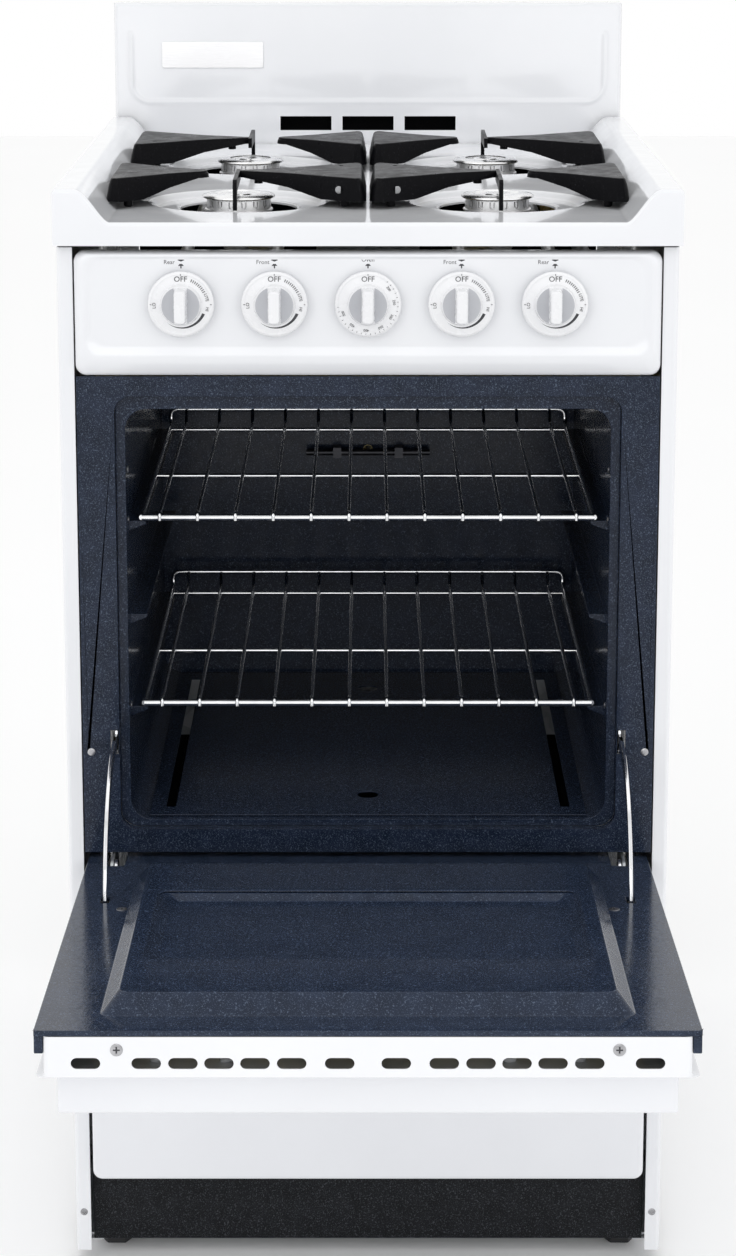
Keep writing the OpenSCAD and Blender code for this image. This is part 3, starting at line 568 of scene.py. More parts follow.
def make_panels():
    soft = [
        ("left_side", "left_side_panel", 0.5, WHITE, "white_enamel"),
        ("right_side", "right_side_panel", 0.5, WHITE, "white_enamel"),
        ("kick_board", "kick_plate", 0.5, KICK, "black_porcelain"),
        ("front_frame", "oven_front_frame", 0.5, NAVY, "navy_porcelain"),
        ("oven_box", "oven_liner", 0.5, NAVY, "navy_porcelain"),
        ("oven_bottom", "oven_floor", 0.5, NAVY, "navy_porcelain"),
        ("rear_sheet", "back_panel", 0.4, ZINC, "galvanised_steel"),
        ("maker_plate_blank", "name_plate", 0.5, PLATE, "plate_metal"),
    ]
    for name, node, width, material, slot in soft:
        piece = finished(softened(name, node, width * MM), material, "root", slot, node)
        if node == "back_panel":
            # the back panel's inner face gets the near-black coat as painted shade
            back_with(piece, GROUND_COAT_AND_SHADE, Vector((0, -1, 0)))


def back_with(piece, material, side):
    """The hidden side of a sheet, which looks towards side, gets another coat: a near-black ground coat,
    which on the zinc back panel's inner face is painted shade.
    """
    piece.data.materials.append(material)
    for face in piece.data.polygons:
        if face.normal.dot(side) > 0.5:
            face.material_index = 1


def bead(x, z, half, base, top, radius):
    """Height of the pressed line at a place: one along a U with round lower corners."""
    corner_x, corner_z = half - radius, base + radius
    dx = max(abs(x) - corner_x, 0.0)
    dz = max(corner_z - z, 0.0)
    if dx > 0 and dz > 0:
        away = abs(math.hypot(dx, dz) - radius)
    elif dz > 0:
        away = abs(z - base)
    else:
        away = abs(abs(x) - half)
    fade = min(1.0, max(0.0, (top - z) / (8 * MM)))
    return math.exp(-(away / (2.0 * MM)) ** 2) * fade


def spaced(start, end, wide, fine, *zones):
    """Grid lines from start to end: wide steps, and fine ones inside the zones."""
    lines = [start]
    while lines[-1] < end - fine:
        here = lines[-1]
        step = fine if any(a - 1e-6 <= here < b for a, b in zones) else wide
        ahead = [a for a, b in zones if here + 1e-6 < a < here + step]
        lines.append(min(ahead + [here + step, end]))
    lines[-1] = end
    return lines


def make_backguard():
    """Pan-shaped backguard with a pressed U line and three vents along its foot."""
    lo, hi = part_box("backguard")
    face_y = lo.y + 1.0 * MM
    roll = 3.0 * MM
    line_x, line_z, bow = hi.x - 17 * MM, COOK_Z + 41 * MM, 18 * MM
    vent_z = COOK_Z + 13 * MM
    vents = [(k * 62 * MM - 25.5 * MM, k * 62 * MM + 25.5 * MM) for k in (-1, 0, 1)]
    fine = 0.9 * MM
    near = 6 * MM
    xs = spaced(lo.x, hi.x, 7 * MM, fine, (lo.x, lo.x + roll), (-line_x - near, -line_x + bow + near),
                (line_x - bow - near, line_x + near), (hi.x - roll, hi.x))
    xs = sorted(set(xs) | {x for vent in vents for x in vent})
    zs = spaced(lo.z, hi.z, 7 * MM, fine, (line_z - near, line_z + bow + near),
                (hi.z - 32 * MM, hi.z - 18 * MM), (hi.z - roll, hi.z))
    zs = sorted(set(zs) | {vent_z, vent_z + 14 * MM})

    def face_point(x, z):
        edge = min(x - lo.x, hi.x - x, hi.z - z)
        back = 0.0
        if edge < roll:
            back = roll - math.sqrt(max(roll ** 2 - (roll - edge) ** 2, 0.0))
        rise = bead(x, z, line_x, line_z, COOK_Z + 113 * MM, bow)
        return (x, face_y + back - rise * 0.9 * MM, z)

    wide = len(xs)
    points = [face_point(x, z) for z in zs for x in xs]
    faces = []
    for j in range(len(zs) - 1):
        for i in range(wide - 1):
            x, z = (xs[i] + xs[i + 1]) / 2, (zs[j] + zs[j + 1]) / 2
            if vent_z < z < vent_z + 14 * MM and any(a < x < b for a, b in vents):
                continue
            faces.append((j * wide + i, j * wide + i + 1, (j + 1) * wide + i + 1, (j + 1) * wide + i))
    rows = len(zs) - 1
    rim = ([j * wide for j in range(rows + 1)]
           + [rows * wide + i for i in range(1, wide)]
           + [j * wide + wide - 1 for j in range(rows - 1, -1, -1)])
    start = len(points)
    points += [(points[k][0], hi.y, points[k][2]) for k in rim]
    faces += [(rim[k], rim[k + 1], start + k + 1, start + k) for k in range(len(rim) - 1)]
    guard = sheet_metal(from_faces("backguard_pan", points, faces), Vector((0, -1, 0)))
    finished(guard, WHITE, "root", "white_enamel", "backguard")
    back_with(guard, GROUND_COAT_AND_SHADE, Vector((0, 1, 0)))


def sheet_metal(thing, outward):
    """Turns a skin's show side outward, then gives it a sheet's thickness behind."""
    tidy_normals(thing)
    shown = max(thing.data.polygons, key=lambda face: abs(face.normal.dot(outward)) * face.area)
    if shown.normal.dot(outward) < 0:
        flip_faces(thing)
    return settled(thing, ("SOLIDIFY", {"thickness": SHEET, "offset": -1.0}))


def make_control_panel():
    """Round-cornered panel with a shallow dish and a chin that slopes back."""
    lo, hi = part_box("control_panel")
    # each ring: inset at the sides and top, inset at the foot, depth behind the front
    steps = [(0.0, 0.0, 14.0), (0.0, 0.0, 9.0), (0.3, 0.5, 7.2), (1.2, 3.0, 4.6), (2.6, 7.0, 2.4),
             (4.2, 11.5, 0.8), (6.0, 15.5, 0.1), (8.0, 17.5, 0.0), (10.0, 19.5, 0.25),
             (12.5, 22.5, 0.9), (15.5, 26.0, 1.2)]
    rings = []
    for side, foot, depth in steps:
        crown = side * 0.42 * MM
        outline = round_rect(lo.x + side * MM, lo.z + foot * MM, hi.x - side * MM, hi.z - crown,
                             (9 + side * 0.35) * MM, 8)
        rings.append(upright(outline, lo.y + depth * MM))
    panel = sheet_metal(loft("control_fascia", rings, cap_first=False), Vector((0, -1, 0)))
    holes = []
    for k in range(1, 6):
        spot = middle(f"valve_stem_{k}")
        holes.append(prism(f"shaft_hole_{k}", arc((spot.x, spot.z), 6 * MM, 0, 345, 23),
                           lo.y - 5 * MM, lo.y + 8 * MM, "xz"))
    cut(panel, joined("shaft_holes", holes))
    finished(panel, WHITE, "root", "white_enamel", "control_panel")
    back_with(panel, GROUND_COAT_AND_SHADE, Vector((0, 1, 0)))


# ---- cooktop ----

def rim_rise(x, half):
    """Height of the cooktop surface above the well at a distance from the middle."""
    flat_from = half - 16 * MM
    foot = half - 46 * MM
    t = (abs(x) - foot) / (flat_from - foot)
    t = min(1.0, max(0.0, t))
    return t ** 1.6 * (3 - 2 * t) ** 0.9


def make_cooktop():
    """Pressed cooktop: high side rims, flat well, front apron and four burner bowls."""
    lo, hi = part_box("cooktop")
    half = hi.x
    roll = 3.2 * MM
    rise = hi.z - COOK_Z
    xs = [half - 16 * MM - k * 30 * MM / 14 for k in range(15)]
    side = [(half, lo.z), (half, hi.z - roll)]
    side += arc((half - roll, hi.z - roll), roll, 12, 90, 6)
    side += [(x, COOK_Z + rise * rim_rise(x, half)) for x in xs]
    outline = [(-x, z) for x, z in side] + list(reversed(side))
    front, back = lo.y, hi.y
    lip = 3.0 * MM
    stations = [front + lip * (1 - math.cos(math.radians(a))) for a in (0, 18, 36, 54, 72, 90)]
    drops = [lip * (1 - math.sin(math.radians(a))) for a in (0, 18, 36, 54, 72, 90)]
    rings = [[(x, y, z - (drop if z > lo.z + 1e-6 else 0.0)) for x, z in outline]
             for y, drop in zip(stations, drops)]
    rings.append([(x, back, z) for x, z in outline])
    count = len(outline)
    points = [p for ring in rings for p in ring]
    faces = [(r * count + i, r * count + i + 1, (r + 1) * count + i + 1, (r + 1) * count + i)
             for r in range(len(rings) - 1) for i in range(count - 1)]
    faces.append(tuple(range(count)))
    top = sheet_metal(from_faces("cooktop_sheet", points, faces), Vector((0, 0, 1)))
    spots = burner_spots()
    bowl_r = 77 * MM
    cuts = [prism(f"bowl_cut_{k}", arc((x, y), bowl_r, 0, 356.25, 95), COOK_Z - 0.02, COOK_Z + 0.02)
            for k, (x, y) in enumerate(spots)]
    relief = prism("rear_relief", [(back - 9 * MM, hi.z + 0.005), (back + 0.005, hi.z + 0.005),
                                   (back + 0.005, COOK_Z + 4 * MM), (back - 1 * MM, COOK_Z + 4 * MM)],
                   -half - 0.01, half + 0.01, "yz")
    foot = prism("rear_foot", [(back - 26 * MM, lo.z - 0.01), (back + 0.01, lo.z - 0.01),
                               (back + 0.01, COOK_Z - 8 * MM), (back - 26 * MM, COOK_Z - 8 * MM)],
                 -half - 0.01, half + 0.01, "yz")
    cut(top, joined("cooktop_cuts", cuts + [relief, foot]))
    bowls = []
    for k, (x, y) in enumerate(spots):
        profile = [(77, 0), (75.6, -0.2), (74.2, -0.9), (72.6, -2.4), (71.2, -3.8), (69.8, -4.7),
                   (68, -5), (54, -5), (52.2, -5.4), (51.2, -6.4), (51, -8), (49.8, -8),
                   (50, -6.4), (51.4, -5.8), (53.6, -6.2), (68.4, -6.2), (70.6, -5.8),
                   (72.2, -4.6), (73.6, -3.2), (75.0, -1.8), (77, -1.2)]
        bowls.append(sweep_round(f"bowl_{k}", in_mm(profile), 96,
                                 (x, y, COOK_Z)))
    finished(joined("cooktop_pressing", [top] + bowls), WHITE, "cooktop_lid", "white_enamel",
             "cooktop", angle=30)


def burner_spots():
    """The four burner centres, from the outer box of the caps."""
    lo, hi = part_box("burner_caps")
    return [(x, y) for y in (lo.y + CAP_R, hi.y - CAP_R) for x in (lo.x + CAP_R, hi.x - CAP_R)]


def wedge_outline(outer, reach, wide, tip):
    """Plan of one grate arm: broad and round-cornered outside, narrow by the burner."""
    r = 6 * MM
    knee = reach + (outer - reach) * 0.42
    knee_wide = tip + (wide - tip) * 0.30
    points = arc((outer - r, wide - r), r, 0, 62, 5)
    points += [(knee + (outer - knee) * 0.5, knee_wide + (wide - knee_wide) * 0.52), (knee, knee_wide)]
    points += arc((reach + tip, 0), tip, 96, 264, 10)
    points += [(x, -y) for x, y in reversed(points[:8])]
    return points


def grate_arm(name, outer, reach, wide, tip, top):
    """One folded arm: flat plate, flared skirts that arch up towards the burner."""
    plate = wedge_outline(outer, reach, wide, tip)
    centre = Vector(((outer + reach) / 2, 0))
    rings = []
    for share, flare in ((0.0, 0.0), (0.5, 1.2), (1.6, 2.0), (0.35, 3.6), (1.0, 6.0)):
        ring = []
        for k, (x, y) in enumerate(plate):
            far = min(1.0, max(0.0, (x - reach) / (outer - reach)))
            bow = min(1.0, max(0.0, (far - 0.30) / 0.26))
            skirt = (5.5 + 14.0 * bow * bow * (3 - 2 * bow)) * MM
            depth = share * MM if flare < 2.5 else skirt * share
            along = (Vector(plate[(k + 1) % len(plate)]) - Vector(plate[k - 1])).normalized()
            out = Vector((along.y, -along.x))
            if out.dot(Vector((x, y)) - centre) < 0:
                out = -out
            lean = flare * MM * (0.30 + 0.70 * far)
            ring.append((x + out.x * lean, y + out.y * lean, top - depth))
        rings.append(ring)
    return sheet_metal(loft(name, rings, cap_first=True, cap_last=False), Vector((0, 0, 1)))


def make_grate(node, body, side, away):
    """A grate with its long arm towards side and its finger towards away."""
    lo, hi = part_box(node)
    centre = min(burner_spots(), key=lambda spot: (Vector(spot) - Vector(middle(node)[:2])).length)
    top = hi.z - COOK_Z
    half = (hi.x - lo.x) / 2 - 5.8 * MM
    wide = 56 * MM
    long_arm = grate_arm("long_arm", half, 1 * MM, wide, 4.0 * MM, top)
    skirt_hole = prism("skirt_hole", arc((half - 17 * MM, top - 10.5 * MM), 3.2 * MM, 0, 345, 23),
                       -70 * MM, -30 * MM, "xz")
    hang_hole = prism("hang_hole", arc((half - 16 * MM, 34 * MM), 2.2 * MM, 0, 345, 23),
                      top - 5 * MM, top + 5 * MM)
    cut(long_arm, joined("arm_holes", [skirt_hole, hang_hole]))
    short_arm = place(grate_arm("short_arm", half, 27 * MM, wide, 8.5 * MM, top),
                      Matrix.Scale(-1, 4, (1, 0, 0)))
    flip_faces(short_arm)
    blade = prism("blade", [(10 * MM, top - 9 * MM), (-30 * MM, top - 9.5 * MM),
                            (-60 * MM, top - 10.5 * MM), (-63.2 * MM, top - 13 * MM),
                            (-64 * MM, top - 17 * MM), (-64 * MM, 0.6 * MM), (-70.5 * MM, 0.6 * MM),
                            (-71 * MM, top - 6 * MM), (-70 * MM, top - 2 * MM), (-67 * MM, top),
                            (10 * MM, top)], -2.0 * MM, 1.4 * MM, "yz")
    rod = sweep_round("rod", [(0.1 * MM, top - 11 * MM), (3.6 * MM, top - 11 * MM),
                              (3.6 * MM, top - 1 * MM), (0.1 * MM, top - 1 * MM)], 20, (17 * MM, 0, 0))
    feet = [sweep_round(f"foot_{k}", [(0.1 * MM, 0.6 * MM), (3.0 * MM, 0.6 * MM), (3.8 * MM, 1.6 * MM),
                                      (3.8 * MM, top - 1 * MM), (0.1 * MM, top - 1 * MM)], 20,
                        (s * (half - 12 * MM), t * 42 * MM, 0))
            for k, (s, t) in enumerate([(1, 1), (1, -1), (-1, 1), (-1, -1)])]
    grate = joined(node + "_shape", [long_arm, short_arm, blade, rod] + feet)
    place(grate, Matrix.Translation((*centre, COOK_Z)) @ Matrix.Diagonal((side, -away, 1, 1)))
    if side * away > 0:
        flip_faces(grate)
    finished(grate, GRATE, body, "black_porcelain", node, angle=32)


def make_burners():
    """Cast heads with U-shaped ports, and turned caps with stepped rings."""
    cap_low, cap_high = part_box("burner_caps")
    heads, caps = [], []
    for k, (x, y) in enumerate(burner_spots()):
        base = low("burner_heads").z
        tall = cap_low.z - base
        t = tall / MM
        profile = [(18, 0), (25, 0), (25.4, t - 13), (28.4, t - 11.4), (29.2, t - 10.4),
                   (29.0, t - 9.4), (27.6, t - 8.8), (27.2, t - 1), (26.8, t), (18, t)]
        head = sweep_round(f"head_{k}", in_mm(profile), 80, (x, y, base))
        cutters = []
        floor = tall - 7.4 * MM
        outer = [(x, floor + 2.3 * MM + z) for x, z in arc((0, 0), 2.3 * MM, 180, 360, 10)]
        inner = [(x, floor + 2.3 * MM + z) for x, z in arc((0, 0), 1.15 * MM, 360, 180, 10)]
        groove = ([(-2.3 * MM, tall - 1.2 * MM)] + outer + [(2.3 * MM, tall - 1.2 * MM)]
                  + [(1.15 * MM, tall - 1.2 * MM)] + inner + [(-1.15 * MM, tall - 1.2 * MM)])
        for port in range(16):
            angle = 2 * math.pi * (port + 0.5) / 16
            port_cut = prism(f"port_{k}_{port}", groove, 24.4 * MM, 33 * MM, "yz")
            place(port_cut, Matrix.Translation((x, y, base)) @ Matrix.Rotation(angle, 4, "Z"))
            cutters.append(port_cut)
        cut(head, joined(f"ports_{k}", cutters))
        heads.append(head)
        z1 = (cap_high.z - cap_low.z) / MM
        rings = [(0.1, 0), (29.5, 0), (30.6, 0.5), (31.0, 1.2), (30.7, 2.0), (29.6, 2.8), (27.0, 3.4),
                 (23.0, z1 - 0.15), (20.5, z1), (19.2, z1 - 0.2), (18.4, z1 - 1.1), (17.0, z1 - 1.5),
                 (12.5, z1 - 1.5), (11.6, z1 - 1.0), (10.8, z1 - 0.3), (9.5, z1), (5.0, z1 - 0.2),
                 (4.0, z1 - 0.6), (0.1, z1 - 0.6)]
        caps.append(sweep_round(f"cap_{k}", in_mm(rings), 80,
                                (x, y, cap_low.z)))
    finished(joined("cast_heads", heads), CAST, "root", "burner_aluminium", "burner_heads", angle=30)
    finished(joined("turned_caps", caps), TURNED, "root", "burner_aluminium", "burner_caps", angle=24)


# ---- knobs ----

def lettering(name, words, size, matrix, depth=0.12 * MM):
    """Flat generic lettering as thin solid ink, laid on a face."""
    font = bpy.data.curves.new(name, "FONT")
    font.body = words
    font.size = size
    font.align_x = "CENTER"
    font.align_y = "CENTER"
    font.extrude = depth / 2
    font.resolution_u = 3
    thing = as_object(name, font)
    graph = bpy.context.evaluated_depsgraph_get()
    mesh = bpy.data.meshes.new_from_object(thing.evaluated_get(graph))
    bpy.data.objects.remove(thing)
    return place(as_object(name, mesh), matrix)


def facing(x, y, z, turn=0.0):
    """A place on a face that looks to the front, turned clockwise by an angle in degrees."""
    return (Matrix.Translation((x, y, z)) @ Matrix.Rotation(math.radians(turn), 4, "Y")
            @ Matrix.Rotation(math.pi / 2, 4, "X"))


def make_knob(k):
    """White knob: thin printed skirt, raised hub and a straight grip; the scooped flanks are not cut but
    painted as grey patches of shade on the hub beside the grip.
    """
    node = f"knob_{k}"
    lo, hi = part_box(node)
    cx, cz = middle(node).x, middle(node).z
    back = hi.y
    r = (hi.x - lo.x) / 2 / MM
    hub = [(3.05, 0), (r - 0.3, 0), (r, 0.5), (r - 0.2, 1.5), (r - 0.9, 2.2), (r - 2.0, 2.6),
           (r - 2.8, 2.3), (r - 3.4, 2.2), (17.4, 2.8), (17.0, 3.2), (16.2, 7.0), (15.5, 7.8),
           (14.5, 8.0), (3.05, 8.0)]
    turned = sweep_round(node + "_turned", in_mm(hub), 72)
    grip_rings = []
    for height, half_w, half_l in ((6.0, 5.6, 15.0), (9.0, 5.3, 14.8), (14.0, 5.0, 14.2),
                                   (18.5, 4.8, 13.6), (20.2, 4.4, 13.1), (20.9, 3.5, 12.2)):
        outline = round_rect(-half_w * MM, -half_l * MM, half_w * MM, half_l * MM,
                             min(half_w, 3.6) * MM * 0.92, 5)
        grip_rings.append([(a, b, height * MM) for a, b in outline])
    grip = tidy_normals(loft(node + "_grip", grip_rings))
    # grey patches on the hub beside the grip, painted as the shade of the scoops
    scoop_shade_patches = []
    reach = math.degrees(math.acos(5.4 / 15.4))
    for side in (0, 180):
        segment = arc((0, 0), 15.4 * MM, side - reach, side + reach, 24)
        scoop_shade_patches.append(prism(f"{node}_scoop_{side}", segment, 7.8 * MM, 8.2 * MM))
    to_front = Matrix.Translation((cx, back, cz)) @ Matrix.Rotation(math.pi / 2, 4, "X")
    shape = place(joined(node + "_moulding", [turned, grip]), to_front)
    finished(shape, KNOB, f"dial_{k}", "knob_plastic", node, angle=32)
    # the patches take the grey painted-shade finish
    scoop_shade_piece = place(joined(node + "_flanks", scoop_shade_patches), to_front)
    finished(scoop_shade_piece, KNOB_SCOOP_SHADE, f"dial_{k}", "knob_plastic")
    finished(dial_print(k, cx, back, cz), PRINT_INK_AND_SHADE, f"dial_{k}", "knob_plastic")


def dial_print(k, cx, back, cz):
    """The scale on the skirt: burner settings, or temperatures on the oven dial."""
    ink = []
    face = back - 2.62 * MM
    ring = 21.6 * MM

    def word(text, angle, size, radius=ring):
        turn = math.radians(angle)
        spot = facing(cx + radius * math.sin(turn), face, cz + radius * math.cos(turn), angle)
        ink.append(lettering(f"dial_{k}_{len(ink)}", text, size, spot))

    def tick(angle, inner, outer, wide):
        mark = prism(f"tick_{k}_{len(ink)}", [(-wide, inner), (wide, inner), (wide, outer), (-wide, outer)],
                     -0.06 * MM, 0.06 * MM)
        ink.append(place(mark, facing(cx, face, cz, angle)))

    word("OFF", 0, 6.2 * MM, 20.8 * MM)
    tick(0, 23.8 * MM, 25.2 * MM, 0.25 * MM)
    if k == 3:
        for step, text in enumerate(("200", "250", "300", "350", "400", "450", "500")):
            word(text, 52 + step * 33, 3.0 * MM, 21.2 * MM)
        for step in range(26):
            tick(40 + step * 9, 23.7 * MM, 25.0 * MM, 0.15 * MM)
    else:
        word("LITE", 74, 3.6 * MM)
        word("HI", 100, 3.6 * MM)
        word("LO", 268, 3.8 * MM)
        tick(90, 23.8 * MM, 25.2 * MM, 0.25 * MM)
        tick(270, 23.8 * MM, 25.2 * MM, 0.25 * MM)
        for step in range(9):
            tick(24 + step * 4.6, 20.2 * MM, 22.6 * MM, 0.3 * MM)
        inner = arc((0, 0), 17.7 * MM, -22, -156, 24)
        outer = [(x * (1 + 0.19 * (1 - i / 24) ** 0.8), z * (1 + 0.19 * (1 - i / 24) ** 0.8))
                 for i, (x, z) in enumerate(inner)]
        crescent = prism(f"crescent_{k}", inner + outer[::-1], -0.06 * MM, 0.06 * MM)
        ink.append(place(crescent, facing(cx, face, cz)))
    return tidy_normals(joined(f"dial_print_{k}", ink))


def make_panel_print():
    """Generic labels and burner symbols above the knobs."""
    face = low("control_panel").y + 1.17 * MM
    ink = []
    labels = ["Rear", "Front", "Oven", "Front", "Rear"]
    for k, text in enumerate(labels, 1):
        spot = middle(f"knob_{k}")
        aside, up = (0, 35.6) if k == 3 else (9.5, 33.6)
        ink.append(lettering(f"label_{k}", text, 4.8 * MM,
                             facing(spot.x - aside * MM, face, spot.z + up * MM)))
        head = [(-2.4, 30.6), (2.4, 30.6), (1.0, 32.2), (-1.0, 32.2)]
        stem = [(-0.5, 28.6), (0.5, 28.6), (0.5, 30.6), (-0.5, 30.6)]
        diamond = [(-3.0, 35.4), (0, 34.1), (3.0, 35.4), (0, 36.7)]
        for part in (head, stem) if k == 3 else (head, stem, diamond):
            mark = prism(f"mark_{k}_{len(ink)}", in_mm(part), -0.05 * MM, 0.05 * MM)
            ink.append(place(mark, facing(spot.x, face, spot.z)))
    finished(tidy_normals(joined("panel_print", ink)), PRINT_INK_AND_SHADE, "root", "white_enamel")


# ---- oven, racks and door ----

def make_rack(node, body):
    """Chrome rack: front-to-back wires over cross bars, with a raised back stop."""
    lo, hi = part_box(node)
    base = lo.z
    half = (hi.x - lo.x) / 2
    front, back = lo.y, hi.y
    bar, thin = 2.9 * MM, 1.7 * MM
    z = base + 3.2 * MM
    side = half - bar
    routes = [([(-half + bar, front + bar, z), (half - bar, front + bar, z)], bar)]
    loop = [(side, front + bar, z), (side, back - bar, z), (side, back - bar, hi.z - bar),
            (-side, back - bar, hi.z - bar), (-side, back - bar, z), (-side, front + bar, z)]
    routes.append((bend(loop, 7 * MM), 2.3 * MM))
    for share in (0.42, 0.93):
        y = front + (back - front) * share
        routes.append(([(-side, y, z - 0.6 * MM), (side, y, z - 0.6 * MM)], 2.1 * MM))
    count = 12
    pitch = (2 * half - 36 * MM) / (count - 1)
    wire_z = z + bar - 0.2 * MM
    for k in range(count):
        x = -half + 18 * MM + k * pitch
        route = [(x, front + 0.4 * MM, z - 2.0 * MM), (x, front + 0.6 * MM, wire_z + 1.0 * MM),
                 (x, front + 12 * MM, wire_z), (x, back - 16 * MM, wire_z),
                 (x, back - 9 * MM, hi.z - 5 * MM), (x, back - 6.2 * MM, hi.z - 3.4 * MM)]
        routes.append((bend(route, 2.4 * MM, 4), thin))
    rack = wires(node + "_wires", routes, CHROME)
    finished(rack, CHROME, body, "chrome", node, angle=40)


def swing():
    """Carries a shape drawn closed about the hinge axis to where the open door has it."""
    return Matrix.Translation(DOOR_AXIS) @ Matrix.Rotation(OPEN_ANGLE, 4, "X")


def make_door_pan():
    """White outer pan of the door: face, rolled edges, an outer lip and the air slots."""
    half = high("door_skin").x - 6 * MM
    foot, tip = DOOR_FOOT, DOOR_TIP
    rings = []
    for wider, inset, y in ((0, 0, 4.5), (0, 0, -22.4), (0.6, 0, -23.8), (2.0, 0, -24.5), (5.0, 0, -24.8),
                            (5.8, 0.1, -25.2), (6.0, 0.5, -25.5), (5.6, 1.0, -25.9), (4.8, 1.6, -26.0)):
        outline = round_rect(-half - wider * MM, foot + inset * MM, half + wider * MM,
                             tip - inset * MM, (4 + wider * 0.5) * MM, 6)
        rings.append(upright(outline, y * MM))
    pan = sheet_metal(loft("door_outer_pan", rings, cap_first=False), Vector((0, -1, 0)))
    tools = []
    for side in (-1, 1):
        for k, x in enumerate(DOOR_SLOTS):
            ends = arc((side * x + 6.4, -15), 4.1, -90, 90, 8)
            ends += arc((side * x - 6.4, -15), 4.1, 90, 270, 8)
            tools.append(prism(f"slot_{side + 1}_{k}", in_mm(ends), tip - 4 * MM, tip + 4 * MM))
        beside = side * 212.5 * MM
        room = round_rect(beside - 7.5 * MM, -15 * MM, beside + 7.5 * MM, 9 * MM, 1 * MM, 2)
        tools.append(prism(f"finger_room_{side + 1}", room, foot - 3 * MM, 15 * MM))
    cut(pan, joined("door_tools", tools))
    place(pan, swing())
    finished(pan, WHITE, "door", "white_enamel", "door_skin")


def make_door():
    make_door_pan()
    soft = [
        ("door_inner_pressing", "door_liner", 0.8, LINER, "navy_porcelain"),
        # the grip bar takes the darker white enamel as painted shade
        ("door_grip_bar", "door_handle", 1.3, SHADED_ENAMEL, "white_enamel"),
        ("hinge_quadrants", "hinge_arms", 0.6, CHROME, "chrome"),
        ("grip_fixings", "handle_fixings", 0.8, WHITE, "chrome"),
    ]
    soften_all("door", soft)


def make_drawer():
    """Drawer front as a pressed pan, and the tray, dish and slats behind it."""
    lo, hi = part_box("drawer_front")
    rings = []
    for inset, depth in ((0, 17.8), (0, 4.2), (0.3, 2.6), (1.1, 1.2), (2.4, 0.3), (4.2, 0.0)):
        outline = round_rect(lo.x + inset * MM, lo.z + inset * MM, hi.x - inset * MM,
                             hi.z - inset * MM, 8 * MM, 8)
        rings.append(upright(outline, lo.y + depth * MM))
    face = sheet_metal(loft("drawer_face", rings, cap_first=False), Vector((0, -1, 0)))
    # the drawer front takes the darker white enamel as painted shade
    finished(face, SHADED_ENAMEL, "drawer", "white_enamel", "drawer_front")
    soft = [
        ("drawer_tray", "drawer_carriage", 0.5, ZINC, "galvanised_steel"),
        ("broiler_dish", "broiler_pan", 0.6, GRATE, "black_porcelain"),
        ("broiler_slats", "broiler_grid", 0.4, GRATE, "black_porcelain"),
    ]
    soften_all("drawer", soft)


def make_screws():
    """Domed cross-head screws. The door's have a black cross at the foot of the recess as painted shade."""
    def outline(r):
        arm, wide = 0.55 * r * MM, 0.13 * r * MM
        return [(arm, -wide), (arm, wide), (wide, wide), (wide, arm), (-wide, arm), (-wide, wide),
                (-arm, wide), (-arm, -wide), (-wide, -wide), (-wide, -arm), (wide, -arm), (wide, -wide)]

    def head(name, r):
        tall = min(0.5 * r, 0.65)
        dome = [(0.02, 0), (r, 0), (r, 0.4 * tall), (0.9 * r, 0.75 * tall), (0.5 * r, 0.96 * tall),
                (0.02, tall)]
        shape = sweep_round(name, in_mm(dome), 28)
        return cut(shape, prism(name + "_cross", outline(r), 0.3 * tall * MM, r * MM))

    to_front = Matrix.Rotation(math.pi / 2, 4, "X")
    to_back = Matrix.Rotation(-math.pi / 2, 4, "X")
    outermost = high("panel_screws").x
    frame_edge = high("oven_front_frame").x
    liner_foot = low("oven_liner").z
    spots = []
    for side in (-1, 1):
        spots.append(Matrix.Translation((side * (outermost - 3 * MM), BODY_FRONT, 46 * MM)) @ to_front)
        spots.append(Matrix.Translation((side * (frame_edge - 7 * MM), BODY_FRONT,
                                         liner_foot + 68 * MM)) @ to_front)
        for rise in (100, 262, 305):
            spots.append(Matrix.Translation((side * WALL_SCREW_X, BODY_FRONT + 30 * MM,
                                             liner_foot + rise * MM))
                         @ Matrix.Rotation(-side * math.pi / 2, 4, "Y"))
    rear = high("back_panel").y
    for x in (-180, -60, 60, 180):
        for z in (low("back_panel").z + 12 * MM, high("back_panel").z - 12 * MM):
            spots.append(Matrix.Translation((x * MM, rear, z)) @ to_back)
    finished(copies_at("cabinet_screws", head("screw", 3.2), spots, SCREW), SCREW, "root",
             "chrome", "panel_screws")
    door_spots = []
    for side in (-1, 1):
        door_spots.append(swing() @ Matrix.Translation((side * 178 * MM, -5 * MM, DOOR_TIP)))
        door_spots.append(swing() @ Matrix.Translation((side * 197 * MM, 9 * MM, 136 * MM)) @ to_back)
    finished(copies_at("door_screw_heads", head("door_screw", 4.6), door_spots, SCREW), SCREW,
             "door", "chrome", "door_screws")
    # a black cross in each door screw's recess: painted shade
    recess = prism("recess_shade", outline(4.4), 0.12 * MM, 0.40 * MM)
    finished(copies_at("door_screw_recesses", recess, door_spots, PRINT_INK_AND_SHADE), PRINT_INK_AND_SHADE, "door", "chrome")


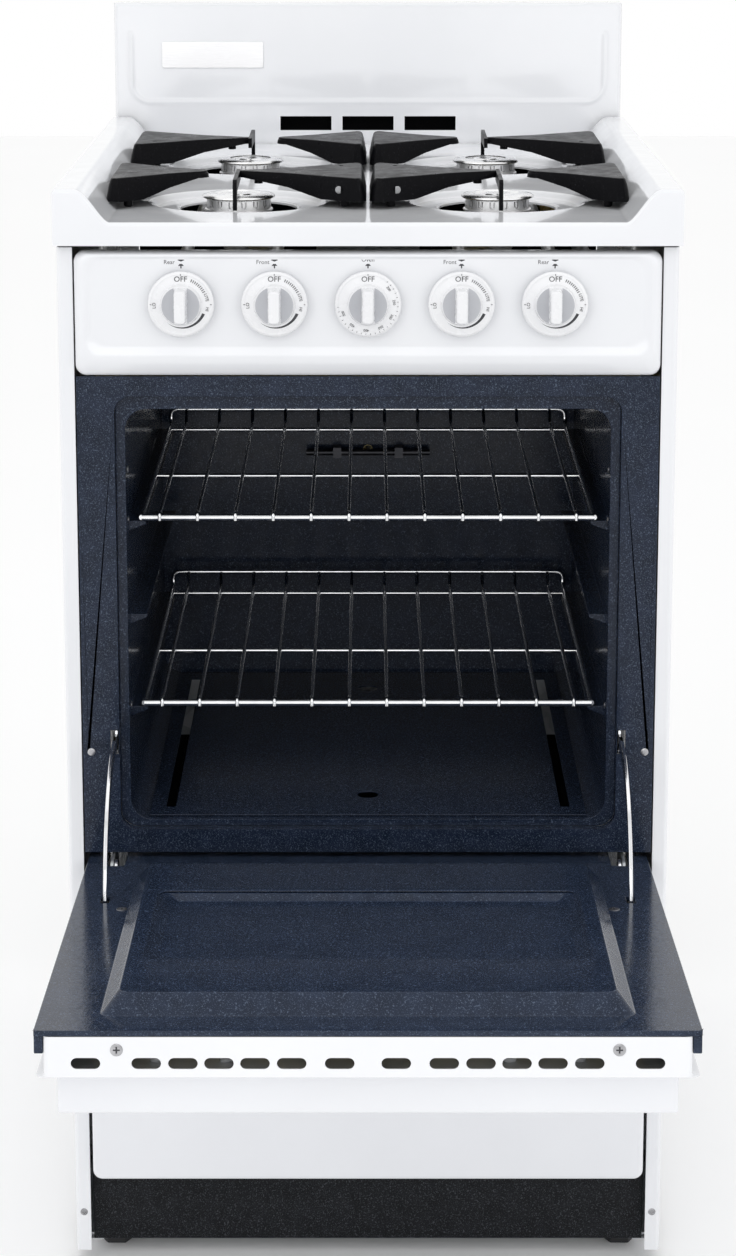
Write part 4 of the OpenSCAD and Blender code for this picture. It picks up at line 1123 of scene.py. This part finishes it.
def make_feet():
    """Levelling feet: a black hexagonal foot on a bright plain stud."""
    for corner in ("front_left", "front_right", "rear_left", "rear_right"):
        node = "leg_" + corner
        spot = middle(node)
        top = high(node).z
        hexagon = [(spot.x + 15.8 * MM * math.cos(k * math.pi / 3),
                    spot.y + 15.8 * MM * math.sin(k * math.pi / 3)) for k in range(6)]
        foot = prism(node + "_hexagon", hexagon, 0.0, 8.8 * MM)
        foot = settled(foot, ("BEVEL", {"width": 1.0 * MM, "segments": 2}))
        finished(foot, FOOT, "foot_" + corner, "foot_black", node)
        stud = sweep_round(node + "_stud", [(0.02 * MM, 8.8 * MM), (3.9 * MM, 8.8 * MM),
                                            (3.9 * MM, top), (0.02 * MM, top)], 24)
        place(stud, Matrix.Translation((spot.x, spot.y, 0)))
        finished(stud, ZINC, "foot_" + corner, "foot_black")


def finish_plain_nodes():
    """CAD nodes whose shape is right keep it and get their finish."""
    plain = {
        ZINC: ["base_frame", "burner_box", "flue_duct", "drawer_rails",
               "hinge_brackets", "cooktop_hinges"],
        DARK: ["thermostat_bulb", "flame_spreader"],
        STEEL: ["gas_manifold"] + [f"valve_stem_{k}" for k in range(1, 6)],
        CAST: ["burner_tubes", "oven_burner"],
        BRASS: ["gas_valves", "gas_inlet"],
        CERAMIC: ["oven_igniter"],
        WOOL: ["oven_insulation", "door_insulation"],
    }
    for material, nodes in plain.items():
        for node in nodes:
            mesh = frame["nodes"][node].data
            mesh.materials.clear()
            mesh.materials.append(material)


# ---- studio ----

def make_stage():
    floor = prism("studio_floor", round_rect(-9, -9, 9, 9, 1.0, 3), -0.02, 0.0)
    paper = Finish("studio_floor_paper")
    shade = paper.noise(1.2)
    paper.set("Base Color", paper.blend(shade, (0.955, 0.955, 0.955), (0.975, 0.975, 0.975)))
    paper.set("Roughness", 0.6)
    floor.data.materials.append(paper.done())
    world = bpy.data.worlds.new("studio")
    world.use_nodes = True
    bpy.context.scene.view_settings.view_transform = "Standard"
    backdrop = world.node_tree.nodes["Background"]
    backdrop.inputs["Color"].default_value = (1.0, 1.0, 1.0, 1.0)
    backdrop.inputs["Strength"].default_value = 1.0
    bpy.context.scene.world = world


def soft_box(name, spot, target, size, power):
    lamp = bpy.data.lights.new(name, "AREA")
    lamp.shape = "RECTANGLE"
    lamp.size, lamp.size_y = size
    lamp.energy = power
    thing = as_object(name, lamp)
    thing.location = spot
    thing.rotation_euler = (Vector(target) - Vector(spot)).to_track_quat("-Z", "Y").to_euler()


def make_lights():
    aim = (0, 0, 0.5)
    soft_box("key_box", (-1.9, -2.6, 2.3), aim, (1.4, 1.8), 9)
    soft_box("fill_box", (2.3, -2.2, 1.5), aim, (1.2, 2.0), 5)
    soft_box("top_box", (0, -0.2, 3.0), (0, 0, 0.9), (2.2, 1.6), 4)
    soft_box("oven_box_light", (0, -2.9, 1.0), (0, 0.2, 0.5), (1.2, 0.8), 4)


def make_camera():
    """Straight in front, above the cooktop, looking down at the open door."""
    distance, height, pitch = 2.42, 1.245, 11.6
    camera = bpy.data.cameras.new("camera")
    camera.lens = 86.0
    camera.shift_y = -0.1645
    camera.clip_start, camera.clip_end = 0.1, 40
    thing = as_object("camera", camera)
    thing.location = (0, BODY_FRONT - distance, height)
    thing.rotation_euler = (math.radians(90 - pitch), 0, 0)
    bpy.context.scene.camera = thing


make_camera()
make_stage()
make_lights()
make_panels()
make_backguard()
make_control_panel()
make_cooktop()
for index, grate_node in enumerate(GRATES):
    rear = index > 1
    left = index % 2 == 0
    towards_middle = 1 if left else -1
    make_grate(grate_node, "grate_body_" + grate_node[6:],
               -towards_middle if rear else towards_middle, 1 if rear else -1)
make_burners()
for knob_number in range(1, 6):
    make_knob(knob_number)
make_panel_print()
make_rack("oven_rack_upper", "rack_upper")
make_rack("oven_rack_lower", "rack_lower")
make_door()
make_drawer()
make_screws()
make_feet()
finish_plain_nodes()
